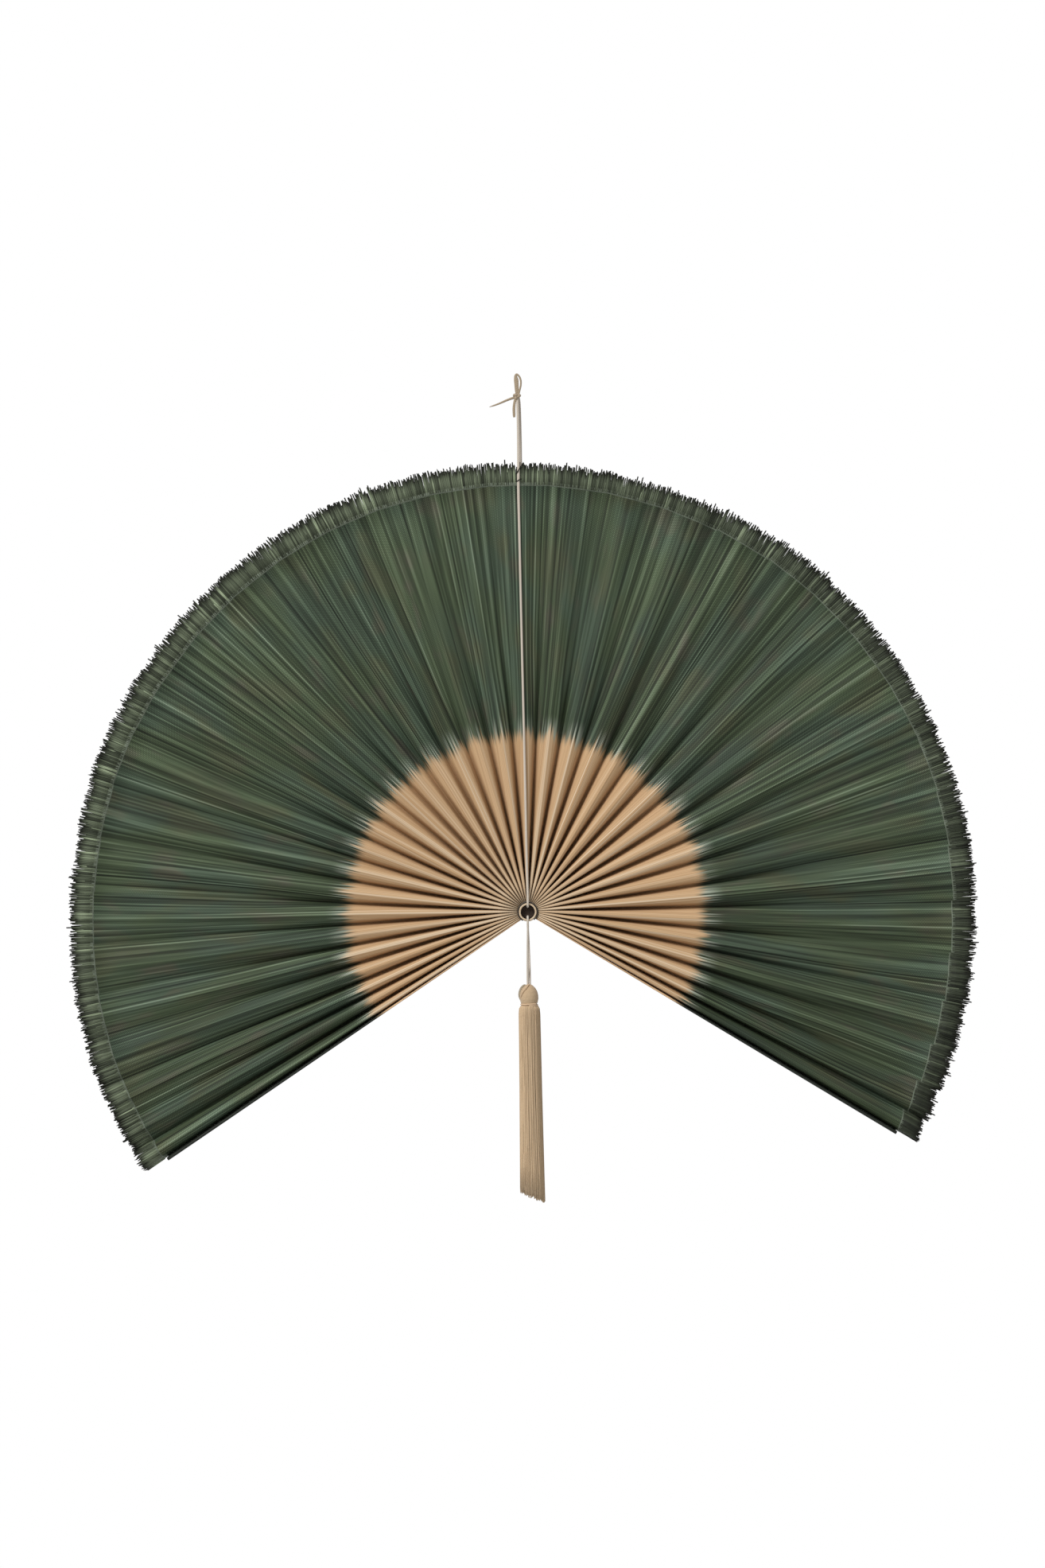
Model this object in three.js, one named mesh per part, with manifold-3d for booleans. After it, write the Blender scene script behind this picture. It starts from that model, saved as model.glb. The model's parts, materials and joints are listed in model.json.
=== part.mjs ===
// A large pleated wall fan of woven split bamboo, hung by a cotton cord, with a cotton tassel on its hub.
// Millimetres. +X is to the right of the fan, +Z is up and +Y points to the wall behind it.
// The origin is the nail, at the top of the hanging loop. Angles are clockwise from up, seen from the front.
import * as THREE from "three";
import { mergeVertices } from "three/addons/utils/BufferGeometryUtils.js";
import Module from "manifold-3d";

const DEGREE = Math.PI / 180;

// Leaf: one mat of sticks, folded into pleats that are packed at the hub and spread at the hem
const PLEAT_COUNT = 36;
const HELD_PLEAT = 19;
const LEAF_RADIUS = 475;
const LEAF_SHIFT = -4.4;
const LEAF_DROP = 5.3;
const LEFT_SWEEP = 123.3 * DEGREE;
const RIGHT_SWEEP = 120.6 * DEGREE;
const HUB_SWEEP = 260 * DEGREE;
const CENTRE_LEAN = -0.72 * DEGREE;
const CROWDING_RATIO = 0.135;
const CROWDING_POWER = 6;
const MAT_THICKNESS = 0.42;
const LAYER_GAP = 0.3;
const FOLD_WIDTH = 1.6;
const RIM_FOLD_DEPTH = 5;

// Legs: the part next to the ridge lies open, and the rest is pinched shut behind it
const FLATTEST_SLOPE = 9 * DEGREE;
const PACKED_SLOPE = 46 * DEGREE;
const PINCH_RATIO = 0.02;
const LEAST_RATIO = 0.06;

// Fringe: the bare stick ends past the hem
const STICKS_PER_LEG = 4;
const STICK_WIDTH = 2.4;
const STICK_THICKNESS = 0.36;
const STICK_SEAT = 0.4;
const FRINGE_LENGTH = 25;
const FRINGE_VARIATION = 4;
const FRINGE_RHYTHM = 2.4;

// End slats: the smooth strips at both ends of the mat, thinner at the hub
const SLAT_AT_HUB = 1.2;
const SLAT_AT_HEM = 3.6;
const SLAT_REAR = 18.5;

// Hub: the bamboo tube that the pleats are gathered round, placed from the nail
const HUB_SIDE = 12;
const HUB_BELOW_NAIL = 593;
const HUB_WALL = 2.4;
const HUB_CLEARANCE = 1.45;
const HUB_PROUD = 2.2;
const HUB_SHORT = 4.2;
const HUB_CHAMFER = 0.5;
const HUB_SIDES = 24;

// Binding wire: hooked round the tube, in front of the folds
const WIRE_DIAMETER = 1.1;
const WIRE_CLEARANCE = 0.3;
const WIRE_HOOK = 7;
const WIRE_POINTS = 17;
const WIRE_STEPS = 2;
const WIRE_SIDES = 6;

// Cords
const CORD_DIAMETER = 2.4;
const TAIL_DIAMETER = 2;
const CORD_GAP = 0.4;
const CORD_SIDES = 8;
const HANGING_STEPS = 2;
const LOOP_STEPS = 2;
const TAIL_STEPS = 2;
const TASSEL_CORD_STEPS = 2;

// Knot of the hanging cord: its top and bottom are below the nail
const KNOT_TOP = 19;
const KNOT_BOTTOM = 28;
const KNOT_RADIUS = 4.7;
const KNOT_NECK = 3.4;
const KNOT_BAND = 3.2;
const KNOT_SIDES = 14;

// Tassel, measured down from the bottom wall of the hub tube
const TASSEL_LEAN = 1 * DEGREE;
const HEAD_TOP = 71.8;
const NECK_DROP = 94.2;
const SKIRT_END = 304;
const SKIRT_SLANT = 5.5;
const HEAD_RADIUS = 10.5;
const HEAD_CROWN = 3.2;
const HEAD_COLLAR = 2.7;
const HEAD_FLARE = 6.7;
const HEAD_ROOM = 0.6;
const DOME_STEPS = 3;
const NECK_RADIUS = 8.2;
const NECK_GAP = 0.3;
const BINDING_HEIGHT = 4.4;
const BINDING_THICKNESS = 1.5;
const BINDING_BEVEL = 0.5;
const SKIRT_COLLAR = 1;
const SKIRT_FLARE = 12.8;
const SKIRT_TOP_RADIUS = 12.3;
const SKIRT_END_RADIUS = 13.6;
const TASSEL_SIDES = 20;

// Sizes that follow from the ones above
const stackPitch = 2 * (MAT_THICKNESS + LAYER_GAP);
const innerRadius = (PLEAT_COUNT * stackPitch) / HUB_SWEEP;
const hubRadius = innerRadius - HUB_CLEARANCE;
const boreRadius = hubRadius - HUB_WALL;
const leafCentre = new THREE.Vector3(LEAF_SHIFT, 0, -LEAF_DROP);
const middlePlace = HELD_PLEAT - 0.5;
const pleatPlaces = Array.from({ length: PLEAT_COUNT }, (_, i) => i + 0.5);

// Shares of the way from the hub to the hem at which a pleat's section is set out
const STATIONS = [0, 0.07, 0.2, 0.4, 0.65, 0.86, 1];
const LAST_STEP = 0.02;
const LEG_CORNERS = 3;

const FINISH = {
  dyedMat: { color: 0x3e4e40, roughness: 0.8, metalness: 0 },
  edgeSlat: { color: 0x4b5148, roughness: 0.6, metalness: 0 },
  bamboo: { color: 0xc8a882, roughness: 0.55, metalness: 0 },
  darkWire: { color: 0x1e1812, roughness: 0.5, metalness: 0.2 },
  cotton: { color: 0xd2c4b4, roughness: 0.9, metalness: 0 },
  yarn: { color: 0xb2987a, roughness: 0.9, metalness: 0 },
};

const wasm = await Module();
wasm.setup();

function piece(parent, name, geometry, finish) {
  const mesh = new THREE.Mesh(geometry, new THREE.MeshStandardMaterial(finish));
  mesh.name = name;
  parent.add(mesh);
}

// A closed mesh as a solid that can be joined to others
function toSolid(geometry) {
  const bare = new THREE.BufferGeometry();
  bare.setAttribute("position", geometry.getAttribute("position"));
  bare.setIndex(geometry.getIndex());
  const merged = mergeVertices(bare);
  const vertProperties = new Float32Array(merged.getAttribute("position").array);
  const triVerts = new Uint32Array(merged.getIndex().array);
  return new wasm.Manifold(new wasm.Mesh({ numProp: 3, vertProperties, triVerts }));
}

function toGeometry(solid) {
  const { vertProperties, triVerts } = solid.getMesh();
  const geometry = new THREE.BufferGeometry();
  geometry.setAttribute("position", new THREE.BufferAttribute(vertProperties, 3));
  geometry.setIndex(new THREE.BufferAttribute(triVerts, 1));
  return geometry;
}

// A closed sheet between two grids of points with the same rows and columns.
// Its quads are split alike on both halves, so that a pleat's two legs mirror each other.
function thickSheet(front, back) {
  const rows = front.length;
  const columns = front[0].length;
  const at = (row, column) => row * columns + column;
  const faces = [];
  const edges = [];
  for (let row = 0; row < rows - 1; row += 1) {
    for (let column = 0; column < columns - 1; column += 1) {
      const [a, b] = [at(row, column), at(row, column + 1)];
      const [d, c] = [at(row + 1, column), at(row + 1, column + 1)];
      const leftHalf = column < (columns - 1) / 2;
      faces.push(...(leftHalf ? [[a, b, c], [a, c, d]] : [[a, b, d], [b, c, d]]));
    }
    edges.push([at(row, columns - 1), at(row + 1, columns - 1)]);
    edges.push([at(row + 1, 0), at(row, 0)]);
  }
  for (let column = 0; column < columns - 1; column += 1) {
    edges.push([at(0, column), at(0, column + 1)]);
    edges.push([at(rows - 1, column + 1), at(rows - 1, column)]);
  }
  const behind = rows * columns;
  const rear = faces.map(([a, b, c]) => [a + behind, c + behind, b + behind]);
  const walls = edges.flatMap(([p, q]) => [[q, p, p + behind], [q, p + behind, q + behind]]);
  const geometry = new THREE.BufferGeometry().setFromPoints([...front.flat(), ...back.flat()]);
  geometry.setIndex([...faces, ...rear, ...walls].flat());
  return geometry;
}

// A smooth curve that gives each span between two of its points the same number of steps,
// so that a tight bend is set out as finely as a long straight run
class Route extends THREE.CatmullRomCurve3 {
  getPointAt(share, target) {
    return this.getPoint(share, target);
  }

  getTangentAt(share, target) {
    return this.getTangent(share, target);
  }
}

// A round cord along a smooth curve through the points
function tube(points, diameter, sides, stepsPerSpan) {
  const section = new THREE.Shape();
  section.absarc(0, 0, diameter / 2, 0, 2 * Math.PI);
  const extrudePath = new Route(points.map((point) => new THREE.Vector3(...point)));
  const steps = stepsPerSpan * (points.length - 1);
  const curveSegments = sides / 2;
  return new THREE.ExtrudeGeometry(section, { steps, curveSegments, bevelEnabled: false, extrudePath });
}

// A profile of [radius, height] pairs turned about the Z axis
function turned(profile, sides) {
  const points = profile.map(([radius, height]) => new THREE.Vector2(radius, height));
  return new THREE.LatheGeometry(points, sides).rotateX(Math.PI / 2);
}

function polar(radius, angle) {
  return new THREE.Vector3(radius * Math.sin(angle), 0, radius * Math.cos(angle));
}

// A fold line runs straight from its place in the packed stack round the hub to its place at the hem.
// Places count pleats from the left end of the leaf. Round the hub they are packed evenly.
function angleAtHub(place) {
  return CENTRE_LEAN + ((place - middlePlace) * HUB_SWEEP) / PLEAT_COUNT;
}

// share goes from 0 at the hub to 1 at the hem. Towards both ends of the leaf the pleats are drawn closer together.
function foldPoint(place, share) {
  const fromMiddle = place - middlePlace;
  const isLeft = fromMiddle < 0;
  const side = Math.abs(fromMiddle) / (isLeft ? middlePlace : PLEAT_COUNT - middlePlace);
  const spread = side + CROWDING_RATIO * (side - side ** CROWDING_POWER);
  const turn = spread * (isLeft ? -LEFT_SWEEP : RIGHT_SWEEP);
  const inner = polar(innerRadius, angleAtHub(place));
  const outer = polar(LEAF_RADIUS, CENTRE_LEAN + turn).add(leafCentre);
  return inner.lerp(outer, share);
}

// One pleat across: the flat of its front fold and the sideways run of each leg
function pleatAcross(place, share) {
  const left = foldPoint(place - 0.5, share);
  const right = foldPoint(place + 0.5, share);
  const centre = left.clone().lerp(right, 0.5);
  const pitch = left.distanceTo(right);
  const fold = Math.min(pitch / 2, FOLD_WIDTH);
  return { centre, across: right.sub(left).normalize(), fold, run: pitch / 2 - fold };
}

// A leg keeps its width from hub to hem: where it runs sideways less, the fold is deeper
const widestRun = Math.max(...pleatPlaces.map((place) => pleatAcross(place, 1).run));
const legWidth = Math.hypot(widestRun, RIM_FOLD_DEPTH);

// A leg across: the share of its width that lies open, and how far each of its two parts goes sideways and back.
// The less room it has sideways, the steeper its open part is, and the more of it is pinched shut.
function legShape(run) {
  const room = run / legWidth;
  const slope = FLATTEST_SLOPE + PACKED_SLOPE * (1 - room) ** 2;
  const rate = Math.max(Math.cos(slope), room);
  const wanted = (room - PINCH_RATIO) / (rate - PINCH_RATIO);
  const open = THREE.MathUtils.clamp(wanted, LEAST_RATIO, 1 - LEAST_RATIO);
  const openRate = Math.min(rate, room / open);
  const pinchRate = (room - open * openRate) / (1 - open);
  const part = (share, sideways) => {
    const width = legWidth * share;
    return new THREE.Vector2(width * sideways, width * Math.sqrt(1 - sideways ** 2));
  };
  return { open, openPart: part(open, openRate), pinchedPart: part(1 - open, pinchRate) };
}

// The points moved sideways from a line by a distance, with mitred corners
function offsetLine(line, distance) {
  const normals = line.slice(1).map((point, i) => {
    const along = point.clone().sub(line[i]).normalize();
    return new THREE.Vector2(along.y, -along.x);
  });
  return line.map((point, i) => {
    const before = normals[Math.max(i - 1, 0)];
    const after = normals[Math.min(i, normals.length - 1)];
    const mitre = before.clone().add(after);
    return point.clone().addScaledVector(mitre, (2 * distance) / mitre.lengthSq());
  });
}

// The corners of a pleat's section, moved by a distance towards the front: rear fold, knee and ridge of its left leg,
// then ridge, knee and rear fold of its right leg
function pleatPoints(place, share, distance) {
  const { centre, across, fold, run } = pleatAcross(place, share);
  const { openPart, pinchedPart } = legShape(run);
  const ridge = new THREE.Vector2(fold / 2, -(openPart.y + pinchedPart.y) / 2);
  const knee = ridge.clone().add(openPart);
  const right = [ridge, knee, knee.clone().add(pinchedPart)];
  const left = right.map((point) => new THREE.Vector2(-point.x, point.y)).reverse();
  return offsetLine([...left, ...right], distance).map((point) => {
    const corner = centre.clone().addScaledVector(across, point.x);
    return corner.setY(point.y);
  });
}

// One bare stick end, three-sided, standing out of the hem in line with the part of the leg that it belongs to.
// share goes from 0 to 1 over the leg, from left to right.
function fringeStick(place, isRight, share, length) {
  const { open } = legShape(pleatAcross(place, 1).run);
  const knee = isRight ? open : 1 - open;
  const pastKnee = share > knee;
  const within = pastKnee ? (share - knee) / (1 - knee) : share / knee;
  const partEnds = (station) => {
    const corners = pleatPoints(place, station, 0);
    const leg = isRight ? corners.slice(-LEG_CORNERS) : corners.slice(0, LEG_CORNERS);
    return pastKnee ? leg.slice(1) : leg.slice(0, -1);
  };
  const [left, right] = partEnds(1);
  const [leftBefore, rightBefore] = partEnds(1 - LAST_STEP);
  const root = left.clone().lerp(right, within);
  const before = leftBefore.clone().lerp(rightBefore, within);
  const along = root.clone().sub(before).normalize();
  const outward = along.clone().cross(right.clone().sub(left)).normalize();
  const sideways = outward.clone().cross(along);
  const [width, height] = [STICK_WIDTH / 2, STICK_THICKNESS / 2];
  const section = new THREE.Shape([
    new THREE.Vector2(-width, -height),
    new THREE.Vector2(width, -height),
    new THREE.Vector2(0, height),
  ]);
  const stick = new THREE.ExtrudeGeometry(section, { depth: length + STICK_SEAT, bevelEnabled: false });
  stick.translate(0, 0, -STICK_SEAT);
  return stick.applyMatrix4(new THREE.Matrix4().makeBasis(sideways, outward, along).setPosition(root));
}

function pleat(place) {
  const front = STATIONS.map((share) => pleatPoints(place, share, MAT_THICKNESS / 2));
  const back = STATIONS.map((share) => pleatPoints(place, share, -MAT_THICKNESS / 2));
  let solid = toSolid(thickSheet(front, back));
  for (const isRight of [false, true]) {
    for (let stick = 0; stick < STICKS_PER_LEG; stick += 1) {
      const count = (2 * place + Number(isRight)) * STICKS_PER_LEG + stick;
      const length = FRINGE_LENGTH + FRINGE_VARIATION * Math.sin(FRINGE_RHYTHM * count);
      const share = (stick + 0.5) / STICKS_PER_LEG;
      solid = solid.add(toSolid(fringeStick(place, isRight, share, length)));
    }
  }
  return toGeometry(solid);
}

// A slat stands square to the leaf along its outermost rear fold; side is -1 at the left end and 1 at the right
function endSlat(side) {
  const place = side < 0 ? 0 : PLEAT_COUNT;
  const ends = [foldPoint(place, 0), foldPoint(place, 1)];
  const along = ends[1].clone().sub(ends[0]).normalize();
  const outward = new THREE.Vector3(along.z, 0, -along.x).multiplyScalar(side);
  const rows = [SLAT_AT_HUB, SLAT_AT_HEM].map((thickness, i) => {
    const inner = ends[i].clone().addScaledVector(outward, LAYER_GAP / 2);
    const outer = inner.clone().addScaledVector(outward, thickness);
    return side < 0 ? [outer, inner] : [inner, outer];
  });
  const level = (y) => rows.map((row) => row.map((point) => point.clone().setY(y)));
  return thickSheet(level(-legWidth / 2), level(SLAT_REAR));
}

function hubTube() {
  const front = -legWidth / 2 - HUB_PROUD;
  const back = legWidth / 2 - HUB_SHORT;
  const profile = [
    [boreRadius, front + HUB_CHAMFER],
    [boreRadius + HUB_CHAMFER, front],
    [hubRadius - HUB_CHAMFER, front],
    [hubRadius, front + HUB_CHAMFER],
    [hubRadius, back - HUB_CHAMFER],
    [hubRadius - HUB_CHAMFER, back],
    [boreRadius + HUB_CHAMFER, back],
    [boreRadius, back - HUB_CHAMFER],
    [boreRadius, front + HUB_CHAMFER],
  ];
  const points = profile.map(([radius, along]) => new THREE.Vector2(radius, along));
  return new THREE.LatheGeometry(points, HUB_SIDES);
}

// The wire lies on the folds round the tube, and its two ends hook back beside the end slats
function bindingWire() {
  const wireRadius = WIRE_DIAMETER / 2;
  const ring = hubRadius + WIRE_CLEARANCE + wireRadius;
  const depth = -(legWidth / 2 + MAT_THICKNESS / 2 + WIRE_CLEARANCE + wireRadius);
  const past = LAYER_GAP / 2 + SLAT_AT_HUB + WIRE_CLEARANCE + wireRadius;
  const start = angleAtHub(0) - past / innerRadius;
  const end = angleAtHub(PLEAT_COUNT) + past / innerRadius;
  const points = Array.from({ length: WIRE_POINTS }, (_, i) => {
    const angle = start + ((end - start) * i) / (WIRE_POINTS - 1);
    return polar(ring, angle).setY(depth);
  });
  const hook = (point) => point.clone().setY(depth + WIRE_HOOK);
  const route = [hook(points[0]), ...points, hook(points[WIRE_POINTS - 1])];
  return tube(route.map((point) => point.toArray()), WIRE_DIAMETER, WIRE_SIDES, WIRE_STEPS);
}

// Routes of the cords. The hanging ones are set out from the nail, the tassel's from the hub's bottom wall.
const HANGING_ROUTE = [
  [0.6, -1.6, -KNOT_BOTTOM - CORD_GAP],
  [1.4, -2.4, -60],
  [1.7, -3.9, -98],
  [1.7, -4.7, -125],
  [2.6, -6.3, -168],
  [4.2, -8.9, -238],
  [6.8, -12.9, -352],
  [9.4, -16.5, -467],
  [10.9, -18.1, -536],
  [11.7, -19, -564],
  [12, -19.9, -579],
  [12, -19.9, -584.4],
  [12, -18.2, -588],
  [12, -14.6, -589.4],
  [12, -5, -589.6],
  [12, 5, -589.4],
  [12, 12, -588.6],
  [12, 16.4, -585.4],
  [12, 17.8, -580],
  [11.6, 17.8, -562],
  [10.9, 16.9, -530],
  [9.6, 14.6, -467],
  [7.6, 11.2, -352],
  [5.8, 7.8, -238],
  [4.6, 4.6, -125],
  [4.2, 2.8, -70],
  [2.2, 1.6, -KNOT_BOTTOM - CORD_GAP],
];
const LOOP_ROUTE = [
  [-1.5, 0, -KNOT_TOP + CORD_GAP],
  [-2.9, 0, -13],
  [-3.4, 0, -6.5],
  [-2.3, 0, -1],
  [0.1, 0, 1.2],
  [2.8, 0, -0.9],
  [4, 0, -6.5],
  [3.2, 0, -13],
  [1.5, 0, -KNOT_TOP + CORD_GAP],
];
const LONG_TAIL_ROUTE = [
  [-KNOT_RADIUS - CORD_GAP, -0.6, -25.4],
  [-12, -1.6, -28],
  [-20, -2.2, -31.6],
  [-30.4, -2, -35.2],
];
const SHORT_TAIL_ROUTE = [
  [-2.2, -1.6, -KNOT_BOTTOM - CORD_GAP],
  [-3.4, -2.6, -36],
  [-3, -2.4, -46.6],
];
const TASSEL_ROUTE = [
  [-1.4, -0.2, -HEAD_TOP + HEAD_ROOM],
  [-1.4, -1.6, -60],
  [-0.6, -9, -30],
  [0, -17, -10],
  [0, -20, -1],
  [0, -18.6, 3.4],
  [0, -14.6, 4.6],
  [0, -5, 4.8],
  [0, 4, 4.8],
  [0, 12, 4.4],
  [0, 15.8, 2.6],
  [0, 17.2, -1],
  [0, 15, -10],
  [0.6, 9, -30],
  [1.4, 1.8, -60],
  [1.4, 0.2, -HEAD_TOP + HEAD_ROOM],
];

function hangingKnot() {
  const middle = (KNOT_TOP + KNOT_BOTTOM) / 2;
  const profile = [
    [0, -KNOT_BOTTOM],
    [KNOT_NECK, -KNOT_BOTTOM],
    [KNOT_RADIUS, -middle - KNOT_BAND / 2],
    [KNOT_RADIUS, -middle + KNOT_BAND / 2],
    [KNOT_NECK, -KNOT_TOP],
    [0, -KNOT_TOP],
  ];
  return turned(profile, KNOT_SIDES);
}

// A collar that the binding holds, a flare to the widest place, and a dome of elliptical section to the crown
function tasselHead() {
  const widest = -NECK_DROP + HEAD_COLLAR + HEAD_FLARE;
  const dome = Array.from({ length: DOME_STEPS + 1 }, (_, i) => {
    const turn = (Math.PI / 2) * (i / DOME_STEPS);
    const radius = HEAD_CROWN + (HEAD_RADIUS - HEAD_CROWN) * Math.cos(turn);
    return [radius, widest - (HEAD_TOP + widest) * Math.sin(turn)];
  });
  const profile = [
    [0, -NECK_DROP],
    [NECK_RADIUS, -NECK_DROP],
    [NECK_RADIUS, -NECK_DROP + HEAD_COLLAR],
    ...dome,
    [0, -HEAD_TOP],
  ];
  return turned(profile, TASSEL_SIDES);
}

function neckBinding() {
  const inner = NECK_RADIUS + NECK_GAP;
  const outer = inner + BINDING_THICKNESS;
  const middle = -NECK_DROP;
  const half = BINDING_HEIGHT / 2;
  const profile = [
    [inner, middle - half],
    [outer - BINDING_BEVEL, middle - half],
    [outer, middle],
    [outer - BINDING_BEVEL, middle + half],
    [inner, middle + half],
    [inner, middle - half],
  ];
  return turned(profile, TASSEL_SIDES);
}

// The skirt is cut aslant, longer on the right
function tasselSkirt() {
  const top = -NECK_DROP - NECK_GAP;
  const shoulder = top - BINDING_HEIGHT / 2 - SKIRT_COLLAR;
  const length = SKIRT_END + top;
  const profile = [
    [0, -SKIRT_END],
    [SKIRT_END_RADIUS, -SKIRT_END],
    [(SKIRT_TOP_RADIUS + SKIRT_END_RADIUS) / 2, top - length / 2],
    [SKIRT_TOP_RADIUS, shoulder - SKIRT_FLARE],
    [NECK_RADIUS, shoulder],
    [NECK_RADIUS, top],
    [0, top],
  ];
  const skirt = turned(profile, TASSEL_SIDES);
  const position = skirt.getAttribute("position");
  for (let i = 0; i < position.count; i += 1) {
    const down = (top - position.getZ(i)) / length;
    const slant = (SKIRT_SLANT * position.getX(i)) / SKIRT_END_RADIUS;
    position.setZ(i, position.getZ(i) - slant * down);
  }
  return skirt;
}

const fan = new THREE.Group();

const leaf = new THREE.Group();
leaf.position.set(HUB_SIDE, 0, -HUB_BELOW_NAIL);
fan.add(leaf);
pleatPlaces.forEach((place, i) => {
  piece(leaf, `pleat_${String(i + 1).padStart(2, "0")}`, pleat(place), FINISH.dyedMat);
});
piece(leaf, "end_slat_left", endSlat(-1), FINISH.edgeSlat);
piece(leaf, "end_slat_right", endSlat(1), FINISH.edgeSlat);
piece(leaf, "hub_tube", hubTube(), FINISH.bamboo);
piece(leaf, "binding_wire", bindingWire(), FINISH.darkWire);

piece(fan, "hanging_cord", tube(HANGING_ROUTE, CORD_DIAMETER, CORD_SIDES, HANGING_STEPS), FINISH.cotton);
piece(fan, "hanging_loop", tube(LOOP_ROUTE, CORD_DIAMETER, CORD_SIDES, LOOP_STEPS), FINISH.cotton);
piece(fan, "hanging_knot", hangingKnot(), FINISH.cotton);
piece(fan, "knot_tail_long", tube(LONG_TAIL_ROUTE, TAIL_DIAMETER, CORD_SIDES, TAIL_STEPS), FINISH.cotton);
piece(fan, "knot_tail_short", tube(SHORT_TAIL_ROUTE, TAIL_DIAMETER, CORD_SIDES, TAIL_STEPS), FINISH.cotton);

const tassel = new THREE.Group();
tassel.position.set(HUB_SIDE, 0, -HUB_BELOW_NAIL - hubRadius + HUB_WALL / 2);
tassel.rotation.y = -TASSEL_LEAN;
fan.add(tassel);
piece(tassel, "tassel_cord", tube(TASSEL_ROUTE, CORD_DIAMETER, CORD_SIDES, TASSEL_CORD_STEPS), FINISH.cotton);
piece(tassel, "tassel_head", tasselHead(), FINISH.yarn);
piece(tassel, "tassel_neck_binding", neckBinding(), FINISH.cotton);
piece(tassel, "tassel_skirt", tasselSkirt(), FINISH.yarn);

export default fan;
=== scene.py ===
# %% [markdown]
# # A pleated bamboo wall fan
# The fan is one long mat of split-bamboo sticks, woven on cotton thread, folded like a concertina and
# opened round a short bamboo tube. Its outer part is dyed green. It hangs by a cotton cord, and a tassel
# hangs from it. The solids give the sizes and places. This file gives each piece its surface and names the
# body that carries it.

# %% Load the solids
import json

import bpy
import numpy as np
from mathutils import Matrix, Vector

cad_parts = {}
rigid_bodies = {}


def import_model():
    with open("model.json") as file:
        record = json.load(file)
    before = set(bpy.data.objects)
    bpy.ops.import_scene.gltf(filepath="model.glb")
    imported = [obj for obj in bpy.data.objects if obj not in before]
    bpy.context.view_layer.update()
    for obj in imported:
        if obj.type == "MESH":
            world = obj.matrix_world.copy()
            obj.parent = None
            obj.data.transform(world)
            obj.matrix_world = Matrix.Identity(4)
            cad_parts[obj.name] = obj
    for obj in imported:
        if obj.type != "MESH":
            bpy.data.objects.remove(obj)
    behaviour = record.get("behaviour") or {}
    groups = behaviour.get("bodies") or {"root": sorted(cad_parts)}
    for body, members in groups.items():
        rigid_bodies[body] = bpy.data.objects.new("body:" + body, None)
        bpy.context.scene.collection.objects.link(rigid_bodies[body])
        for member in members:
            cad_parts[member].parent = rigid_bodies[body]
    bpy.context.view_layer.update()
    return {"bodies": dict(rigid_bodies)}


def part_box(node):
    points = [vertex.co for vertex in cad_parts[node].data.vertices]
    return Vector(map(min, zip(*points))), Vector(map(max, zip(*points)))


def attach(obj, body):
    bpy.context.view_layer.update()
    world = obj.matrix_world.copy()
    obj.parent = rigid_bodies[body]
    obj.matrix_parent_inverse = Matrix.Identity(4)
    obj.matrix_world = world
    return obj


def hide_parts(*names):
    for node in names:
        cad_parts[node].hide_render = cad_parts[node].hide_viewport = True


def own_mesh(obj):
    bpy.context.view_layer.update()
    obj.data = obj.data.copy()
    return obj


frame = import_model()
chance = np.random.default_rng(11)
MM = 0.001

# %% [markdown]
# ## Camera
# A wall fan is photographed straight on, from far away, so that its circle stays a circle. The lens is
# worked out from the height of the fan's plane that the picture shows.

# %% Camera
VIEW_MIDDLE = (6.2, -452.0)
VIEW_HEIGHT = 1734.5
CAMERA_AWAY = 4000.0
SENSOR_HEIGHT = 36.0

camera = bpy.data.cameras.new("camera")
camera.sensor_fit = "VERTICAL"
camera.sensor_height = SENSOR_HEIGHT
camera.lens = SENSOR_HEIGHT * CAMERA_AWAY / VIEW_HEIGHT
camera_object = bpy.data.objects.new("camera", camera)
camera_object.location = (VIEW_MIDDLE[0] * MM, -CAMERA_AWAY * MM, VIEW_MIDDLE[1] * MM)
camera_object.rotation_euler = (np.pi / 2, 0, 0)
bpy.context.collection.objects.link(camera_object)
bpy.context.scene.camera = camera_object
print("lens:", round(camera.lens, 1), "mm")

# %% [markdown]
# ## Meshes from arrays
# Every new piece is a grid of points: a function of two parameters, or a profile carried along a path.
# These helpers turn whole arrays of points, in millimetres, into quads. No loop goes over single points, so
# even the mat with all its sticks is made in a moment.


# %% Mesh helpers
def grid_quads(rows, columns, wrap=False):
    """Quads between neighbouring rows and columns of a grid. wrap also joins the last column to the first."""
    row = np.arange(rows - 1)[:, None]
    column = np.arange(columns if wrap else columns - 1)[None, :]
    here = row * columns + column
    beside = row * columns + (column + 1) % columns
    return np.stack([here, beside, beside + columns, here + columns], -1).reshape(-1, 4)


def sheet_quads(rows, columns):
    """A closed sheet: a front grid, a back grid turned round, and a wall round their border."""
    front = grid_quads(rows, columns)
    behind = rows * columns
    index = np.arange(behind).reshape(rows, columns)
    border = np.concatenate([index[0], index[1:, -1], index[-1, -2::-1], index[-2:0:-1, 0]])
    after = np.roll(border, -1)
    wall = np.stack([after, border, border + behind, after + behind], -1)
    return np.concatenate([front, front[:, ::-1] + behind, wall])


def repeated(quads, points_each, copies):
    """The same quads for each of many equal shapes whose points follow one another."""
    start = np.arange(copies)[:, None, None] * points_each
    return (quads[None] + start).reshape(-1, 4)


def turns(count):
    """Even steps once round, in radians."""
    return np.linspace(0, 2 * np.pi, count, endpoint=False)


def circle(count):
    """Points once round a circle of radius 1, as cosine and sine."""
    return np.stack([np.cos(turns(count)), np.sin(turns(count))], -1)


def together(*parts):
    """Arrays spread to one shape and put side by side: two make a map, and three make points."""
    return np.stack(np.broadcast_arrays(*parts), -1)


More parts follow.
